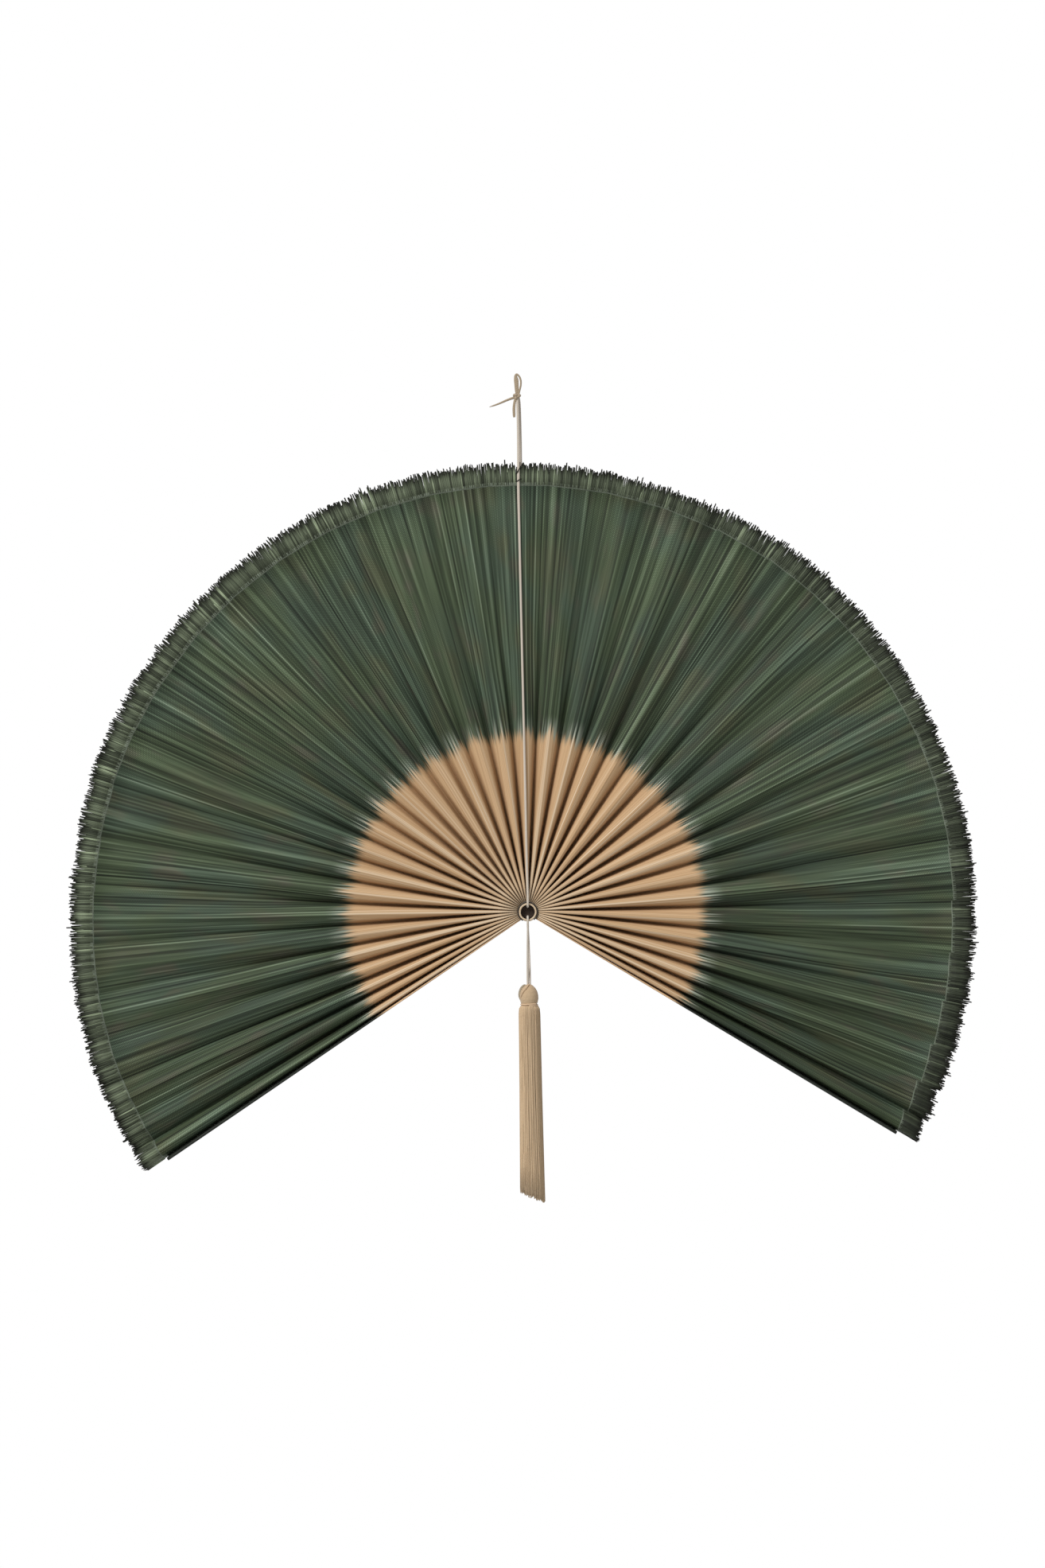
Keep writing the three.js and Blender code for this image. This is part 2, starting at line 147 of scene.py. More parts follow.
def joined(shapes):
    """Several shapes as one. Each gives its points, its map and its quads, which are counted on."""
    points = [shape[0].reshape(-1, 3) for shape in shapes]
    maps = [shape[1].reshape(-1, 2) for shape in shapes]
    before = np.cumsum([0, *map(len, points)])
    quads = [shape[2] + first for shape, first in zip(shapes, before)]
    return np.concatenate(points), np.concatenate(maps), np.concatenate(quads)


def mesh_piece(name, points, quads, uv=None):
    """An object at the origin with its place in its mesh. points are in mm, uv has a pair for each point."""
    points = np.asarray(points, float).reshape(-1, 3) * MM
    mesh = bpy.data.meshes.new(name)
    mesh.vertices.add(len(points))
    mesh.vertices.foreach_set("co", points.ravel())
    mesh.loops.add(quads.size)
    mesh.loops.foreach_set("vertex_index", quads.ravel().astype(np.int32))
    mesh.polygons.add(len(quads))
    mesh.polygons.foreach_set("loop_start", np.arange(0, quads.size, 4, dtype=np.int32))
    if uv is not None:
        layer = mesh.uv_layers.new(name="lay")
        layer.data.foreach_set("uv", np.asarray(uv, float).reshape(-1, 2)[quads.ravel()].ravel())
    mesh.update(calc_edges=True)
    mesh.validate()
    mesh.polygons.foreach_set("use_smooth", np.full(len(mesh.polygons), True))
    piece = bpy.data.objects.new(name, mesh)
    bpy.context.collection.objects.link(piece)
    return piece


def dress(piece, body, slot, material, *nodes):
    """Gives a piece its finish, the body that carries it and the solids that it stands for."""
    piece.data.materials.append(material)
    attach(piece, body)
    if nodes:
        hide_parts(*nodes)


# %% [markdown]
# ## Sweeps
# A cord, a wire and a slat are one section carried along a path. The path is a smooth curve through a few
# given points, set out again in even steps, so that a twist in the cord keeps its pitch. A bevelled curve
# could be used too, but here the twist, the section and the map all come from one formula.


# %% Sweep helpers
def unit(vectors):
    """Vectors divided by their own lengths."""
    return vectors / np.linalg.norm(vectors, axis=-1, keepdims=True)


PATH_STEPS = 24


def smooth_path(points, step):
    """Centripetal Catmull-Rom curve through the points, resampled at an even step in mm."""
    points = np.asarray(points, float)
    knots = np.array([2 * points[0] - points[1], *points, 2 * points[-1] - points[-2]])
    p0, p1, p2, p3 = (knots[i : len(knots) - 3 + i, None, :] for i in range(4))
    gaps = (np.linalg.norm(b - a, axis=-1, keepdims=True) for a, b in ((p0, p1), (p1, p2), (p2, p3)))
    d0, d1, d2 = map(np.sqrt, gaps)
    start = (p1 - p0) / d0 - (p2 - p0) / (d0 + d1) + (p2 - p1) / d1
    end = (p2 - p1) / d1 - (p3 - p1) / (d1 + d2) + (p3 - p2) / d2
    s = np.linspace(0, 1, PATH_STEPS, endpoint=False)[None, :, None]
    hermite = (
        (2 * s**3 - 3 * s**2 + 1) * p1
        + (s**3 - 2 * s**2 + s) * start * d1
        + (3 * s**2 - 2 * s**3) * p2
        + (s**3 - s**2) * end * d1
    )
    line = np.concatenate([hermite.reshape(-1, 3), points[-1:]])
    along = np.concatenate([[0], np.cumsum(np.linalg.norm(np.diff(line, axis=0), axis=1))])
    even = np.linspace(0, along[-1], max(int(round(along[-1] / step)), 2) + 1)
    return np.stack([np.interp(even, along, line[:, axis]) for axis in range(3)], -1), even


def swept(path, side, up, section):
    """Points of a section (rings, sides, 2) set out on two directions at each place of a path."""
    return path[:, None] + section[..., :1] * side[:, None] + section[..., 1:] * up[:, None]


def carried(path, reference, section):
    """Points of a section (rings, sides, 2) carried along a path: its first axis keeps to the reference."""
    tangent = unit(np.gradient(path, axis=0))
    side = unit(reference - (tangent @ reference)[:, None] * tangent)
    return swept(path, side, np.cross(tangent, side), section)


def tube_quads(rings, sides):
    """A closed tube: its skin, and a fan of quads over each end."""
    skin = grid_quads(rings, sides, wrap=True)
    step = np.arange(0, sides - 2, 2)
    cap = np.stack([np.zeros_like(step), step + 1, step + 2, (step + 3) % sides], -1)
    return np.concatenate([skin, cap[:, ::-1], cap + (rings - 1) * sides])


# %% [markdown]
# ## Shader helpers
# A material is a small graph of nodes. This class adds a node and links or sets what it is given in one
# line, so that a finish reads as a formula. A colour is written as it looks on a screen and turned to
# linear light.


# %% Shader helpers
class Graph:
    """Adds shader nodes to a tree. A socket is linked to its input, and a plain value is set on it."""

    def __init__(self, tree):
        self.tree = tree

    def add(self, kind, **settings):
        """A new node with its settings."""
        node = self.tree.nodes.new("ShaderNode" + kind)
        for name, value in settings.items():
            setattr(node, name, value)
        return node

    def put(self, socket, value):
        """Links a socket to an input, or sets a plain value on it."""
        if isinstance(value, bpy.types.NodeSocket):
            self.tree.links.new(value, socket)
        else:
            socket.default_value = value

    def math(self, operation, *values):
        """One step of arithmetic, such as FLOOR, SINE or POWER."""
        node = self.add("Math", operation=operation)
        for socket, value in zip(node.inputs, values):
            self.put(socket, value)
        return node.outputs[0]

    def times(self, first, second):
        """The product of two values."""
        return self.math("MULTIPLY", first, second)

    def plus(self, first, second):
        """The sum of two values."""
        return self.math("ADD", first, second)

    def minus(self, first, second):
        """The first value less the second."""
        return self.math("SUBTRACT", first, second)

    def blend(self, share, first, second, how="MIX"):
        """Two colours joined by a share: mixed, unless another way is named."""
        node = self.add("Mix", data_type="RGBA", blend_type=how)
        for socket, value in zip((node.inputs[0], node.inputs[6], node.inputs[7]), (share, first, second)):
            self.put(socket, value)
        return node.outputs[2]

    def ramp(self, value, low, high, to_low=0.0, to_high=1.0):
        """A smooth step from to_low to to_high as value goes from low to high."""
        node = self.add("MapRange", interpolation_type="SMOOTHSTEP")
        for socket, given in zip(node.inputs, (value, low, high, to_low, to_high)):
            self.put(socket, given)
        return node.outputs[0]

    def vector(self, *parts):
        """Up to three numbers put together as a place or a colour."""
        node = self.add("CombineXYZ")
        for socket, value in zip(node.inputs, parts):
            self.put(socket, value)
        return node.outputs[0]

    def noise(self, vector, scale, detail=2.0):
        """Soft random tones that change from place to place."""
        node = self.add("TexNoise")
        self.put(node.inputs["Vector"], vector)
        node.inputs["Scale"].default_value = scale
        node.inputs["Detail"].default_value = detail
        return node.outputs[0]

    def random(self, number):
        """A random value from 0 to 1 that belongs to a whole number."""
        node = self.add("TexWhiteNoise", noise_dimensions="1D")
        self.put(node.inputs["W"], number)
        return node.outputs["Value"]

    def shade(self, colour, factor):
        """A colour made darker or lighter by a factor."""
        return self.blend(1.0, colour, self.vector(factor, factor, factor), "MULTIPLY")


def paint(red, green, blue):
    """A screen colour of 0 to 255 as linear light."""
    share = np.array([red, green, blue]) / 255
    linear = np.where(share <= 0.04045, share / 12.92, ((share + 0.055) / 1.055) ** 2.4)
    return (*linear.tolist(), 1.0)


def effect(name, inputs, outputs):
    """An empty node group with float inputs and outputs, its graph, and its input and output sockets."""
    tree = bpy.data.node_groups.new(name, "ShaderNodeTree")
    for label in inputs:
        tree.interface.new_socket(name=label, in_out="INPUT", socket_type="NodeSocketFloat")
    for label in outputs:
        tree.interface.new_socket(name=label, in_out="OUTPUT", socket_type="NodeSocketFloat")
    start = tree.nodes.new("NodeGroupInput")
    end = tree.nodes.new("NodeGroupOutput")
    return tree, Graph(tree), start.outputs, end.inputs


def finish_of(name):
    """A new material with its graph and its Principled shader."""
    material = bpy.data.materials.new(name)
    material.use_nodes = True
    graph = Graph(material.node_tree)
    return material, graph, material.node_tree.nodes["Principled BSDF"]


def placed(graph, tree, **values):
    """A node group placed in a material, with its inputs set or linked by name."""
    node = graph.add("Group", node_tree=tree)
    for label, value in values.items():
        graph.put(node.inputs[label], value)
    return node.outputs


def raised(graph, shader, height, distance, strength):
    """Bump from a height of 0 to 1 that stands for a distance in metres."""
    bump = graph.add("Bump")
    bump.inputs["Strength"].default_value = strength
    bump.inputs["Distance"].default_value = distance
    graph.put(bump.inputs["Height"], height)
    graph.put(shader.inputs["Normal"], bump.outputs[0])


def mottled(name, scale, detail, tones, steps, rough):
    """A finish with a fine pattern of two tones. Gives its parts and the pattern, so that more can follow."""
    material, graph, shader = finish_of(name)
    pattern = graph.noise(graph.add("TexCoord").outputs["Object"], scale, detail)
    colour = graph.blend(graph.ramp(pattern, *steps), *tones)
    graph.put(shader.inputs["Base Color"], colour)
    graph.put(shader.inputs["Roughness"], graph.ramp(pattern, 0.3, 0.7, *rough))
    return material, graph, shader, pattern, colour


def surface_place(graph):
    """The two numbers that a piece's own map gives: across the sticks or yarn, and along them in mm."""
    node = graph.add("UVMap", uv_map="lay")
    parts = graph.add("SeparateXYZ")
    graph.put(parts.inputs[0], node.outputs[0])
    return parts.outputs[0], parts.outputs[1]


# %% [markdown]
# ## How the leaf is folded
# The mat is folded into 36 pleats. Round the tube they are packed leaf against leaf, and at the hem they
# are spread over about 244 degrees, with the last few at each end drawn closer together. A leg of the mat
# keeps its width from tube to hem. Where it has little room sideways, it stands deep. These are the solids'
# sizes. The cord lies on the nineteenth pleat, and angles are counted from it to both sides.

# %% Folds
PLEATS, MIDDLE_PLACE = 36, 18.5
LEAF_RADIUS = 475.0
LEAF_MIDDLE = np.array([-4.4, 0.0, -5.3])
LEFT_SWEEP, RIGHT_SWEEP = np.radians([123.3, 120.6])
HUB_SWEEP = np.radians(260)
CENTRE_LEAN = np.radians(-0.72)
CROWDING_RATIO, CROWDING_POWER = 0.135, 6
MAT_THICKNESS, LAYER_GAP = 0.42, 0.3
FOLD_WIDTH, RIM_FOLD_DEPTH = 1.6, 5.0
INNER_RADIUS = PLEATS * 2 * (MAT_THICKNESS + LAYER_GAP) / HUB_SWEEP

hub_low, hub_high = (np.array(corner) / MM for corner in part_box("hub_tube"))
HUB = (hub_low + hub_high) / 2 * np.array([1, 0, 1])


def polar(radius, angle):
    """A radius turned by an angle, which counts from straight up towards the right."""
    return np.stack([radius * np.sin(angle), np.zeros_like(angle), radius * np.cos(angle)], -1)


def about_hub(radius, angle, level):
    """Points round the tube's axis, from their distance, their angle and their place along it."""
    return together(HUB[0] + radius * np.sin(angle), level, HUB[2] + radius * np.cos(angle))


def angle_at_hub(place):
    """Round the tube the pleats are packed evenly. Places count pleats from the left end."""
    return CENTRE_LEAN + (place - MIDDLE_PLACE) * HUB_SWEEP / PLEATS


def fold_point(place, share):
    """A fold line runs straight from its place in the stack round the tube to its place at the hem, where the
    pleats are drawn together towards both ends. share goes from 0 at the tube to 1 at the hem."""
    place, share = np.broadcast_arrays(np.asarray(place, float), np.asarray(share, float))
    off = place - MIDDLE_PLACE
    side = np.abs(off) / np.where(off < 0, MIDDLE_PLACE, PLEATS - MIDDLE_PLACE)
    spread = side + CROWDING_RATIO * (side - side**CROWDING_POWER)
    inner = polar(INNER_RADIUS, angle_at_hub(place))
    turn = CENTRE_LEAN + spread * np.where(off < 0, -LEFT_SWEEP, RIGHT_SWEEP)
    outer = polar(LEAF_RADIUS, turn) + LEAF_MIDDLE
    return HUB + inner + (outer - inner) * share[..., None]


def fold_pitch(place, share):
    """The room that a whole pleat has sideways."""
    return np.linalg.norm(fold_point(place + 0.5, share) - fold_point(place - 0.5, share), axis=-1)


widest = (fold_pitch(np.arange(PLEATS) + 0.5, 1.0) / 2 - FOLD_WIDTH).max()
LEG_WIDTH = np.hypot(widest, RIM_FOLD_DEPTH)
print("leg of the mat:", round(LEG_WIDTH, 1), "mm wide, tube at", HUB)

# %% [markdown]
# ## The finish of the mat
# The sticks differ: each has its own tone, and the dye has crept along each to its own length. The threads
# pass over one stick and under the next, which makes a fine checker. All this follows the mat, not space,
# so the mesh carries a map: the first number counts sticks, and the second is the distance from the hub in
# mm.

# %% Effects that several finishes share
STICKS = 32
DYE_RADIUS = 195.0
DYE_UNEVEN = 9.0
DYE_WAVE = 18.0
DYE_FEATHER = 7.0
STREAK_REACH, LATE_SHARE = 9.0, 0.4
RIDGE_REACH = 6.0
VALLEY_REACH = 6.0


def stick_grain_effect():
    """Tone of each stick, fine grain along it, and its round height, from its number and the distance."""
    results = ["Tone", "Chance", "Round", "Grain"]
    tree, graph, given, made = effect("stick grain", ["Stick", "Distance"], results)
    number = graph.math("FLOOR", given["Stick"])
    across = graph.math("FRACT", given["Stick"])
    lot = graph.random(number)
    place = graph.vector(graph.times(given["Stick"], 4.0), graph.times(given["Distance"], 0.02), 0.0)
    grain = graph.noise(place, 1.0, 3.0)
    graph.put(made["Tone"], graph.plus(graph.times(lot, 0.5), graph.times(grain, 0.5)))
    graph.put(made["Chance"], graph.random(graph.plus(number, 0.5)))
    graph.put(made["Round"], graph.math("SINE", graph.times(across, np.pi)))
    graph.put(made["Grain"], grain)
    return tree


def dye_edge_effect():
    """How much a place is dyed. The edge is a circle, moved by each stick's own lot, by a slow wave over the
    sticks, outwards where a stick on a ridge is rubbed, and inwards in the valleys."""
    tree, graph, given, made = effect("dye edge", ["Stick", "Distance", "Rubbed", "Valley"], ["Dyed"])
    number = graph.math("FLOOR", given["Stick"])
    lot = graph.minus(graph.random(graph.plus(number, 0.25)), 0.5)
    streak = graph.ramp(graph.random(graph.plus(number, 0.75)), 0.8, 1.0, 0.0, STREAK_REACH)
    slow = graph.noise(graph.vector(graph.times(given["Stick"], 0.06), 0.0, 0.0), 1.0)
    edge = graph.plus(DYE_RADIUS, graph.times(lot, DYE_UNEVEN))
    edge = graph.plus(edge, graph.times(graph.minus(slow, 0.5), DYE_WAVE))
    edge = graph.plus(edge, graph.times(given["Rubbed"], RIDGE_REACH))
    edge = graph.minus(edge, graph.times(given["Valley"], VALLEY_REACH))
    past = graph.minus(given["Distance"], edge)
    near = graph.ramp(past, -DYE_FEATHER, DYE_FEATHER)
    late = graph.ramp(graph.minus(past, streak), -DYE_FEATHER, DYE_FEATHER)
    graph.put(made["Dyed"], graph.plus(graph.times(near, 1 - LATE_SHARE), graph.times(late, LATE_SHARE)))
    return tree


STICK_GRAIN = stick_grain_effect()
DYE_EDGE = dye_edge_effect()
print("effects:", STICK_GRAIN.name, DYE_EDGE.name)

# %% Colours of the mat
NATURAL_PALE, NATURAL_DEEP, RUBBED_CREAM = paint(210, 177, 138), paint(177, 141, 102), paint(222, 200, 170)
DYE_GREEN, DYE_BLUE, DYE_PALE = paint(74, 86, 64), paint(73, 87, 71), paint(182, 188, 172)
DYE_OLIVE, DYE_BROWN, DYE_LIGHT = paint(80, 86, 65), paint(84, 86, 71), paint(138, 148, 132)
HEM_GREY = paint(102, 110, 96)
FRINGE_ROOT, FRINGE_TIP = paint(76, 83, 67), paint(20, 20, 15)
THREAD_PITCH, HEM_WIDTH, FRINGE_LENGTH = 0.95, 4.0, 25.0
WEAVE_ON_NATURAL, WEAVE_ON_DYE = 0.06, 0.6
CREAM_FROM, CREAM_TO, CREAM_SHARE, RUBBED_SHARE = 15.0, 80.0, 0.4, 0.75
THIN_REACH, THIN_SHARE = 26.0, 0.85
ALL_STICKS = STICKS * PLEATS


def natural_colour(graph, distance, tone, rubbed, weave):
    """Pale and deep sticks, creamier on rubbed ridges and near the tube."""
    colour = graph.blend(tone, NATURAL_DEEP, NATURAL_PALE)
    colour = graph.blend(graph.times(rubbed, RUBBED_SHARE), colour, RUBBED_CREAM)
    near = graph.ramp(distance, CREAM_FROM, CREAM_TO, CREAM_SHARE, 0.0)
    colour = graph.blend(near, colour, RUBBED_CREAM)
    return graph.shade(colour, graph.plus(1.0, graph.times(weave, WEAVE_ON_NATURAL)))


def dye_depth(graph, stick, distance, tone, lot, rubbed):
    """How light the dye is. Each stick has its own tone, and a few are pale or dark. Painted side light makes
    the right side darker, rubbed ridges are faded, and broad bands run along the sticks."""
    depth = graph.plus(graph.times(tone, 1.5), graph.ramp(lot, 0.84, 1.0, 0.1, 0.8))
    depth = graph.times(depth, graph.ramp(lot, 0.0, 0.14, 0.45, 1.0))
    # Painted side light: the dye grows darker towards the right-hand sticks, away from the lamp.
    depth = graph.times(depth, graph.ramp(stick, 0.6 * ALL_STICKS, ALL_STICKS, 1.0, 0.8))
    fading = graph.ramp(distance, DYE_RADIUS, LEAF_RADIUS, 0.5, 0.25)
    depth = graph.plus(depth, graph.times(rubbed, fading))
    depth = graph.times(depth, graph.ramp(distance, DYE_RADIUS, LEAF_RADIUS, 0.82, 1.02))
    bands = graph.vector(graph.times(stick, 0.45), graph.times(distance, 0.006), 3.0)
    return graph.times(depth, graph.ramp(graph.noise(bands, 1.0), 0.3, 0.7, 0.62, 1.42))


def dyed_colour(graph, stick, distance, lot, off_ridge, depth, weave):
    """Four greens in large patches, as light as the dye is, and thin where it feathers out at its edge."""
    patch = graph.vector(graph.times(stick, 0.03), graph.times(distance, 0.007), 0.0)
    green = graph.blend(graph.ramp(graph.noise(patch, 1.0), 0.4, 0.62), DYE_GREEN, DYE_BLUE)
    green = graph.blend(graph.ramp(graph.noise(patch, 1.7), 0.5, 0.7), green, DYE_OLIVE)
    green = graph.blend(graph.ramp(graph.noise(patch, 2.3), 0.56, 0.74), green, DYE_BROWN)
    green = graph.blend(graph.ramp(depth, 1.2, 2.4, 0.0, 0.35), graph.shade(green, depth), DYE_LIGHT)
    feather = graph.ramp(distance, DYE_RADIUS, DYE_RADIUS + THIN_REACH, THIN_SHARE, 0.0)
    thin = graph.times(graph.ramp(lot, 0.2, 0.95), feather)
    thin = graph.times(thin, graph.ramp(off_ridge, 0.04, 0.3, 1.0, 0.15))
    green = graph.blend(thin, green, DYE_PALE)
    return graph.shade(green, graph.plus(1.0, graph.times(weave, WEAVE_ON_DYE)))


def fringe_colour(graph, stick, distance, tone, lot):
    """Bare sticks with painted side light, paler at the left towards the lamp and darker to the right, and
    dark tips. Each has its own tone, and a few are pale.
    """
    to_tip = graph.ramp(distance, LEAF_RADIUS + 0.45 * FRINGE_LENGTH, LEAF_RADIUS + FRINGE_LENGTH)
    # Painted side light: the stick ends grow darker from left to right.
    painted_side_light = graph.ramp(stick, 0.4 * ALL_STICKS, 0.95 * ALL_STICKS, 1.5, 0.46)
    own = graph.times(graph.ramp(tone, 0.2, 0.8, 0.35, 1.5), graph.ramp(lot, 0.78, 0.95, 0.92, 2.2))
    return graph.blend(to_tip, graph.shade(FRINGE_ROOT, graph.times(painted_side_light, own)), FRINGE_TIP)


# %% The woven mat
def woven_mat():
    """Natural, dyed, hem and fringe colours follow one another with the distance from the hub."""
    material, graph, shader = finish_of("woven_bamboo_mat")
    stick, distance = surface_place(graph)
    tone, lot, rounded, grain = placed(graph, STICK_GRAIN, Stick=stick, Distance=distance)
    from_fold = graph.math("FRACT", graph.math("DIVIDE", stick, float(STICKS)))
    off_ridge = graph.math("ABSOLUTE", graph.minus(from_fold, 0.5 + 0.5 / STICKS))
    on_ridge = graph.ramp(off_ridge, 0.02, 0.11, 1.0, 0.0)
    rubbed = graph.times(on_ridge, graph.ramp(lot, 0.25, 0.9))
    valley = graph.ramp(off_ridge, 0.25, 0.5)
    dyed = placed(graph, DYE_EDGE, Stick=stick, Distance=distance, Rubbed=rubbed, Valley=valley)[0]

    row = graph.math("DIVIDE", distance, THREAD_PITCH)
    turn = graph.plus(graph.math("FLOOR", row), graph.math("FLOOR", stick))
    over = graph.minus(graph.times(graph.math("FLOORED_MODULO", turn, 2.0), 2.0), 1.0)
    arch = graph.math("SINE", graph.times(graph.math("FRACT", row), np.pi))
    weave = graph.times(over, graph.times(arch, rounded))

    natural = natural_colour(graph, distance, tone, rubbed, weave)
    depth = dye_depth(graph, stick, distance, tone, lot, rubbed)
    green = dyed_colour(graph, stick, distance, lot, off_ridge, depth, weave)
    colour = graph.blend(dyed, natural, green)
    hem_start = LEAF_RADIUS - HEM_WIDTH
    past_hem = graph.ramp(distance, LEAF_RADIUS, LEAF_RADIUS + 0.5)
    in_hem = graph.times(graph.ramp(distance, hem_start - 0.5, hem_start), graph.minus(1.0, past_hem))
    hem = graph.shade(HEM_GREY, graph.plus(0.75, graph.times(tone, 0.5)))
    colour = graph.blend(in_hem, colour, hem)
    colour = graph.blend(past_hem, colour, fringe_colour(graph, stick, distance, tone, lot))
    # Painted shade: each stick's colour is darker towards its edges, in the gaps between sticks.
    painted_gap_shade = graph.plus(0.62, graph.times(graph.math("POWER", rounded, 0.5), 0.42))
    graph.put(shader.inputs["Base Color"], graph.shade(colour, painted_gap_shade))

    graph.put(shader.inputs["Roughness"], graph.ramp(grain, 0.3, 0.7, 0.5, 0.72))
    shader.inputs["Specular IOR Level"].default_value = 0.14
    height = graph.plus(graph.times(grain, 0.4), graph.times(weave, 0.3))
    raised(graph, shader, height, 0.0002, 0.6)
    return material


WOVEN_MAT = woven_mat()
print("mat: dye edge at", DYE_RADIUS, "mm, threads", THREAD_PITCH, "mm apart")

# %% [markdown]
# ## The pleats
# Each pleat is one piece, because each turns by itself when the fan is shut. Its section has a fold as wide
# as one stick in front, two legs of fifteen sticks, and half a fold at each side behind. A mat bends only
# between its sticks. So a leg lies open near the ridge, like one side of a roof, and goes down steeply into
# the valley behind its knee. Near the tube little of a leg lies open, and at the hem nearly all of it does.
# Each stick is a shallow rib with a groove on both sides. Real legs are never flat, so each is bowed a
# little, and each ridge wanders. Bare stick ends stand past the hem.

# %% Pleat surface
RIB_POINTS = 4
ROWS = 24
LEG_POINTS = (STICKS // 2 - 1) * RIB_POINTS
FRONT_SHARE, FRONT_WIDTH = 0.45, 2.0
REAR_SHARE, REAR_WIDTH = 0.36, 0.6
HEM_SLOPE, PACKED_SLOPE, PINCHED = np.radians(9), np.radians(46), 0.02
OPEN_SLOPE, LEAST_OPEN, KNEE_WIDTH = np.radians(20), 0.3, 0.3
DEPTH_GAIN, DEPTH_POWER = 26.0, 2.3
BOW, DOUBLE_BOW, WANDER, UNEVEN_DEPTH = 1.2, 0.8, 0.04, 0.2
LEAN, RIGHT_LEAN, BEHIND_CORD = 0.03, 0.06, -0.2
OPEN_ROOM, MOST_OPEN = 0.12, 0.97
LEAF_REACH = LEAF_RADIUS - INNER_RADIUS
depth_change = chance.normal(0, UNEVEN_DEPTH, 2 * PLEATS + 1).clip(-0.4, 0.4)
cord_fold = int(2 * MIDDLE_PLACE)
depth_change[cord_fold] = 0
depth_change[cord_fold + np.array([-4, -2, 2, 4])] = BEHIND_CORD
leg_bow = chance.normal(0, BOW, (PLEATS, 2, 2))
leg_double_bow = chance.normal(0, DOUBLE_BOW, (PLEATS, 2, 2))
ridge_drift = chance.normal(0, WANDER, (PLEATS, 2)).clip(-0.09, 0.09)


def running(rates):
    """Running total from 0 along the last axis, by the trapezium rule on even steps."""
    steps = (rates[..., 1:] + rates[..., :-1]) / 2 / LEG_POINTS
    return np.concatenate([np.zeros_like(rates[..., :1]), np.cumsum(steps, -1)], -1)


def leg_room(run):
    """The sideways run of a leg as a share of its width."""
    return np.clip(run / LEG_WIDTH, 0, 0.99)


def ridge_level(room):
    """How far the solids' ridges stand before the middle plane: half the depth of a leg that can't stretch,
    with its open part at its slope and the rest pinched shut."""
    cosine = np.maximum(np.cos(HEM_SLOPE + PACKED_SLOPE * (1 - room) ** 2), room)
    opened = np.clip((room - PINCHED) / (cosine - PINCHED), 0, 1)
    return LEG_WIDTH / 2 * (opened * np.sqrt(1 - cosine**2) + 1 - opened)


def leg_depth(room):
    """From ridge to rear fold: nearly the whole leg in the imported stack, and little where it lies open."""
    return RIM_FOLD_DEPTH + DEPTH_GAIN * (1 - room) ** DEPTH_POWER


def leg_shape(run):
    """A leg from its rear fold to its ridge: a steep part and an open part with a rounded knee between them.
    Both rates, sideways and forwards, pass smoothly from one part's to the other's. Gives shares of run and
    depth."""
    along = np.linspace(0, 1, LEG_POINTS + 1)
    room = leg_room(run)
    depth = leg_depth(room)
    part = np.clip(LEAST_OPEN * np.minimum(room / OPEN_ROOM, 1) + room, None, MOST_OPEN)
    open_depth = np.minimum(part * run * np.tan(HEM_SLOPE + OPEN_SLOPE * (1 - room**4)), part * depth)
    steep = np.hypot((1 - part) * run, depth - open_depth)
    opened = np.hypot(part * run, open_depth)
    rise = np.clip((along - steep / (steep + opened)) / KNEE_WIDTH + 0.5, 0, 1)
    rise = rise**2 * (3 - 2 * rise)
    across = running((1 - rise) * (1 - part) * run / steep + rise * part * run / opened)
    down = running((1 - rise) * (depth - open_depth) / steep + rise * open_depth / opened)
    return across / across[..., -1:], down / down[..., -1:]


def fold_flats(pitch):
    """Width of the front and rear folds: one stick, or a share of the pitch where the pleats are packed."""
    return np.minimum(pitch * FRONT_SHARE, FRONT_WIDTH), np.minimum(pitch * REAR_SHARE, REAR_WIDTH)


def fold_levels(place, share, change):
    """Where a front and a rear fold at a place stand, before and behind the leaf's middle plane."""
    pitch = fold_pitch(place, share)
    front, rear = fold_flats(pitch)
    room = leg_room((pitch - front - rear) / 2)
    uneven = depth_change[change] * share**2 * leg_depth(room)
    return -ridge_level(room) - uneven / 2, -ridge_level(room) + leg_depth(room) + uneven / 2


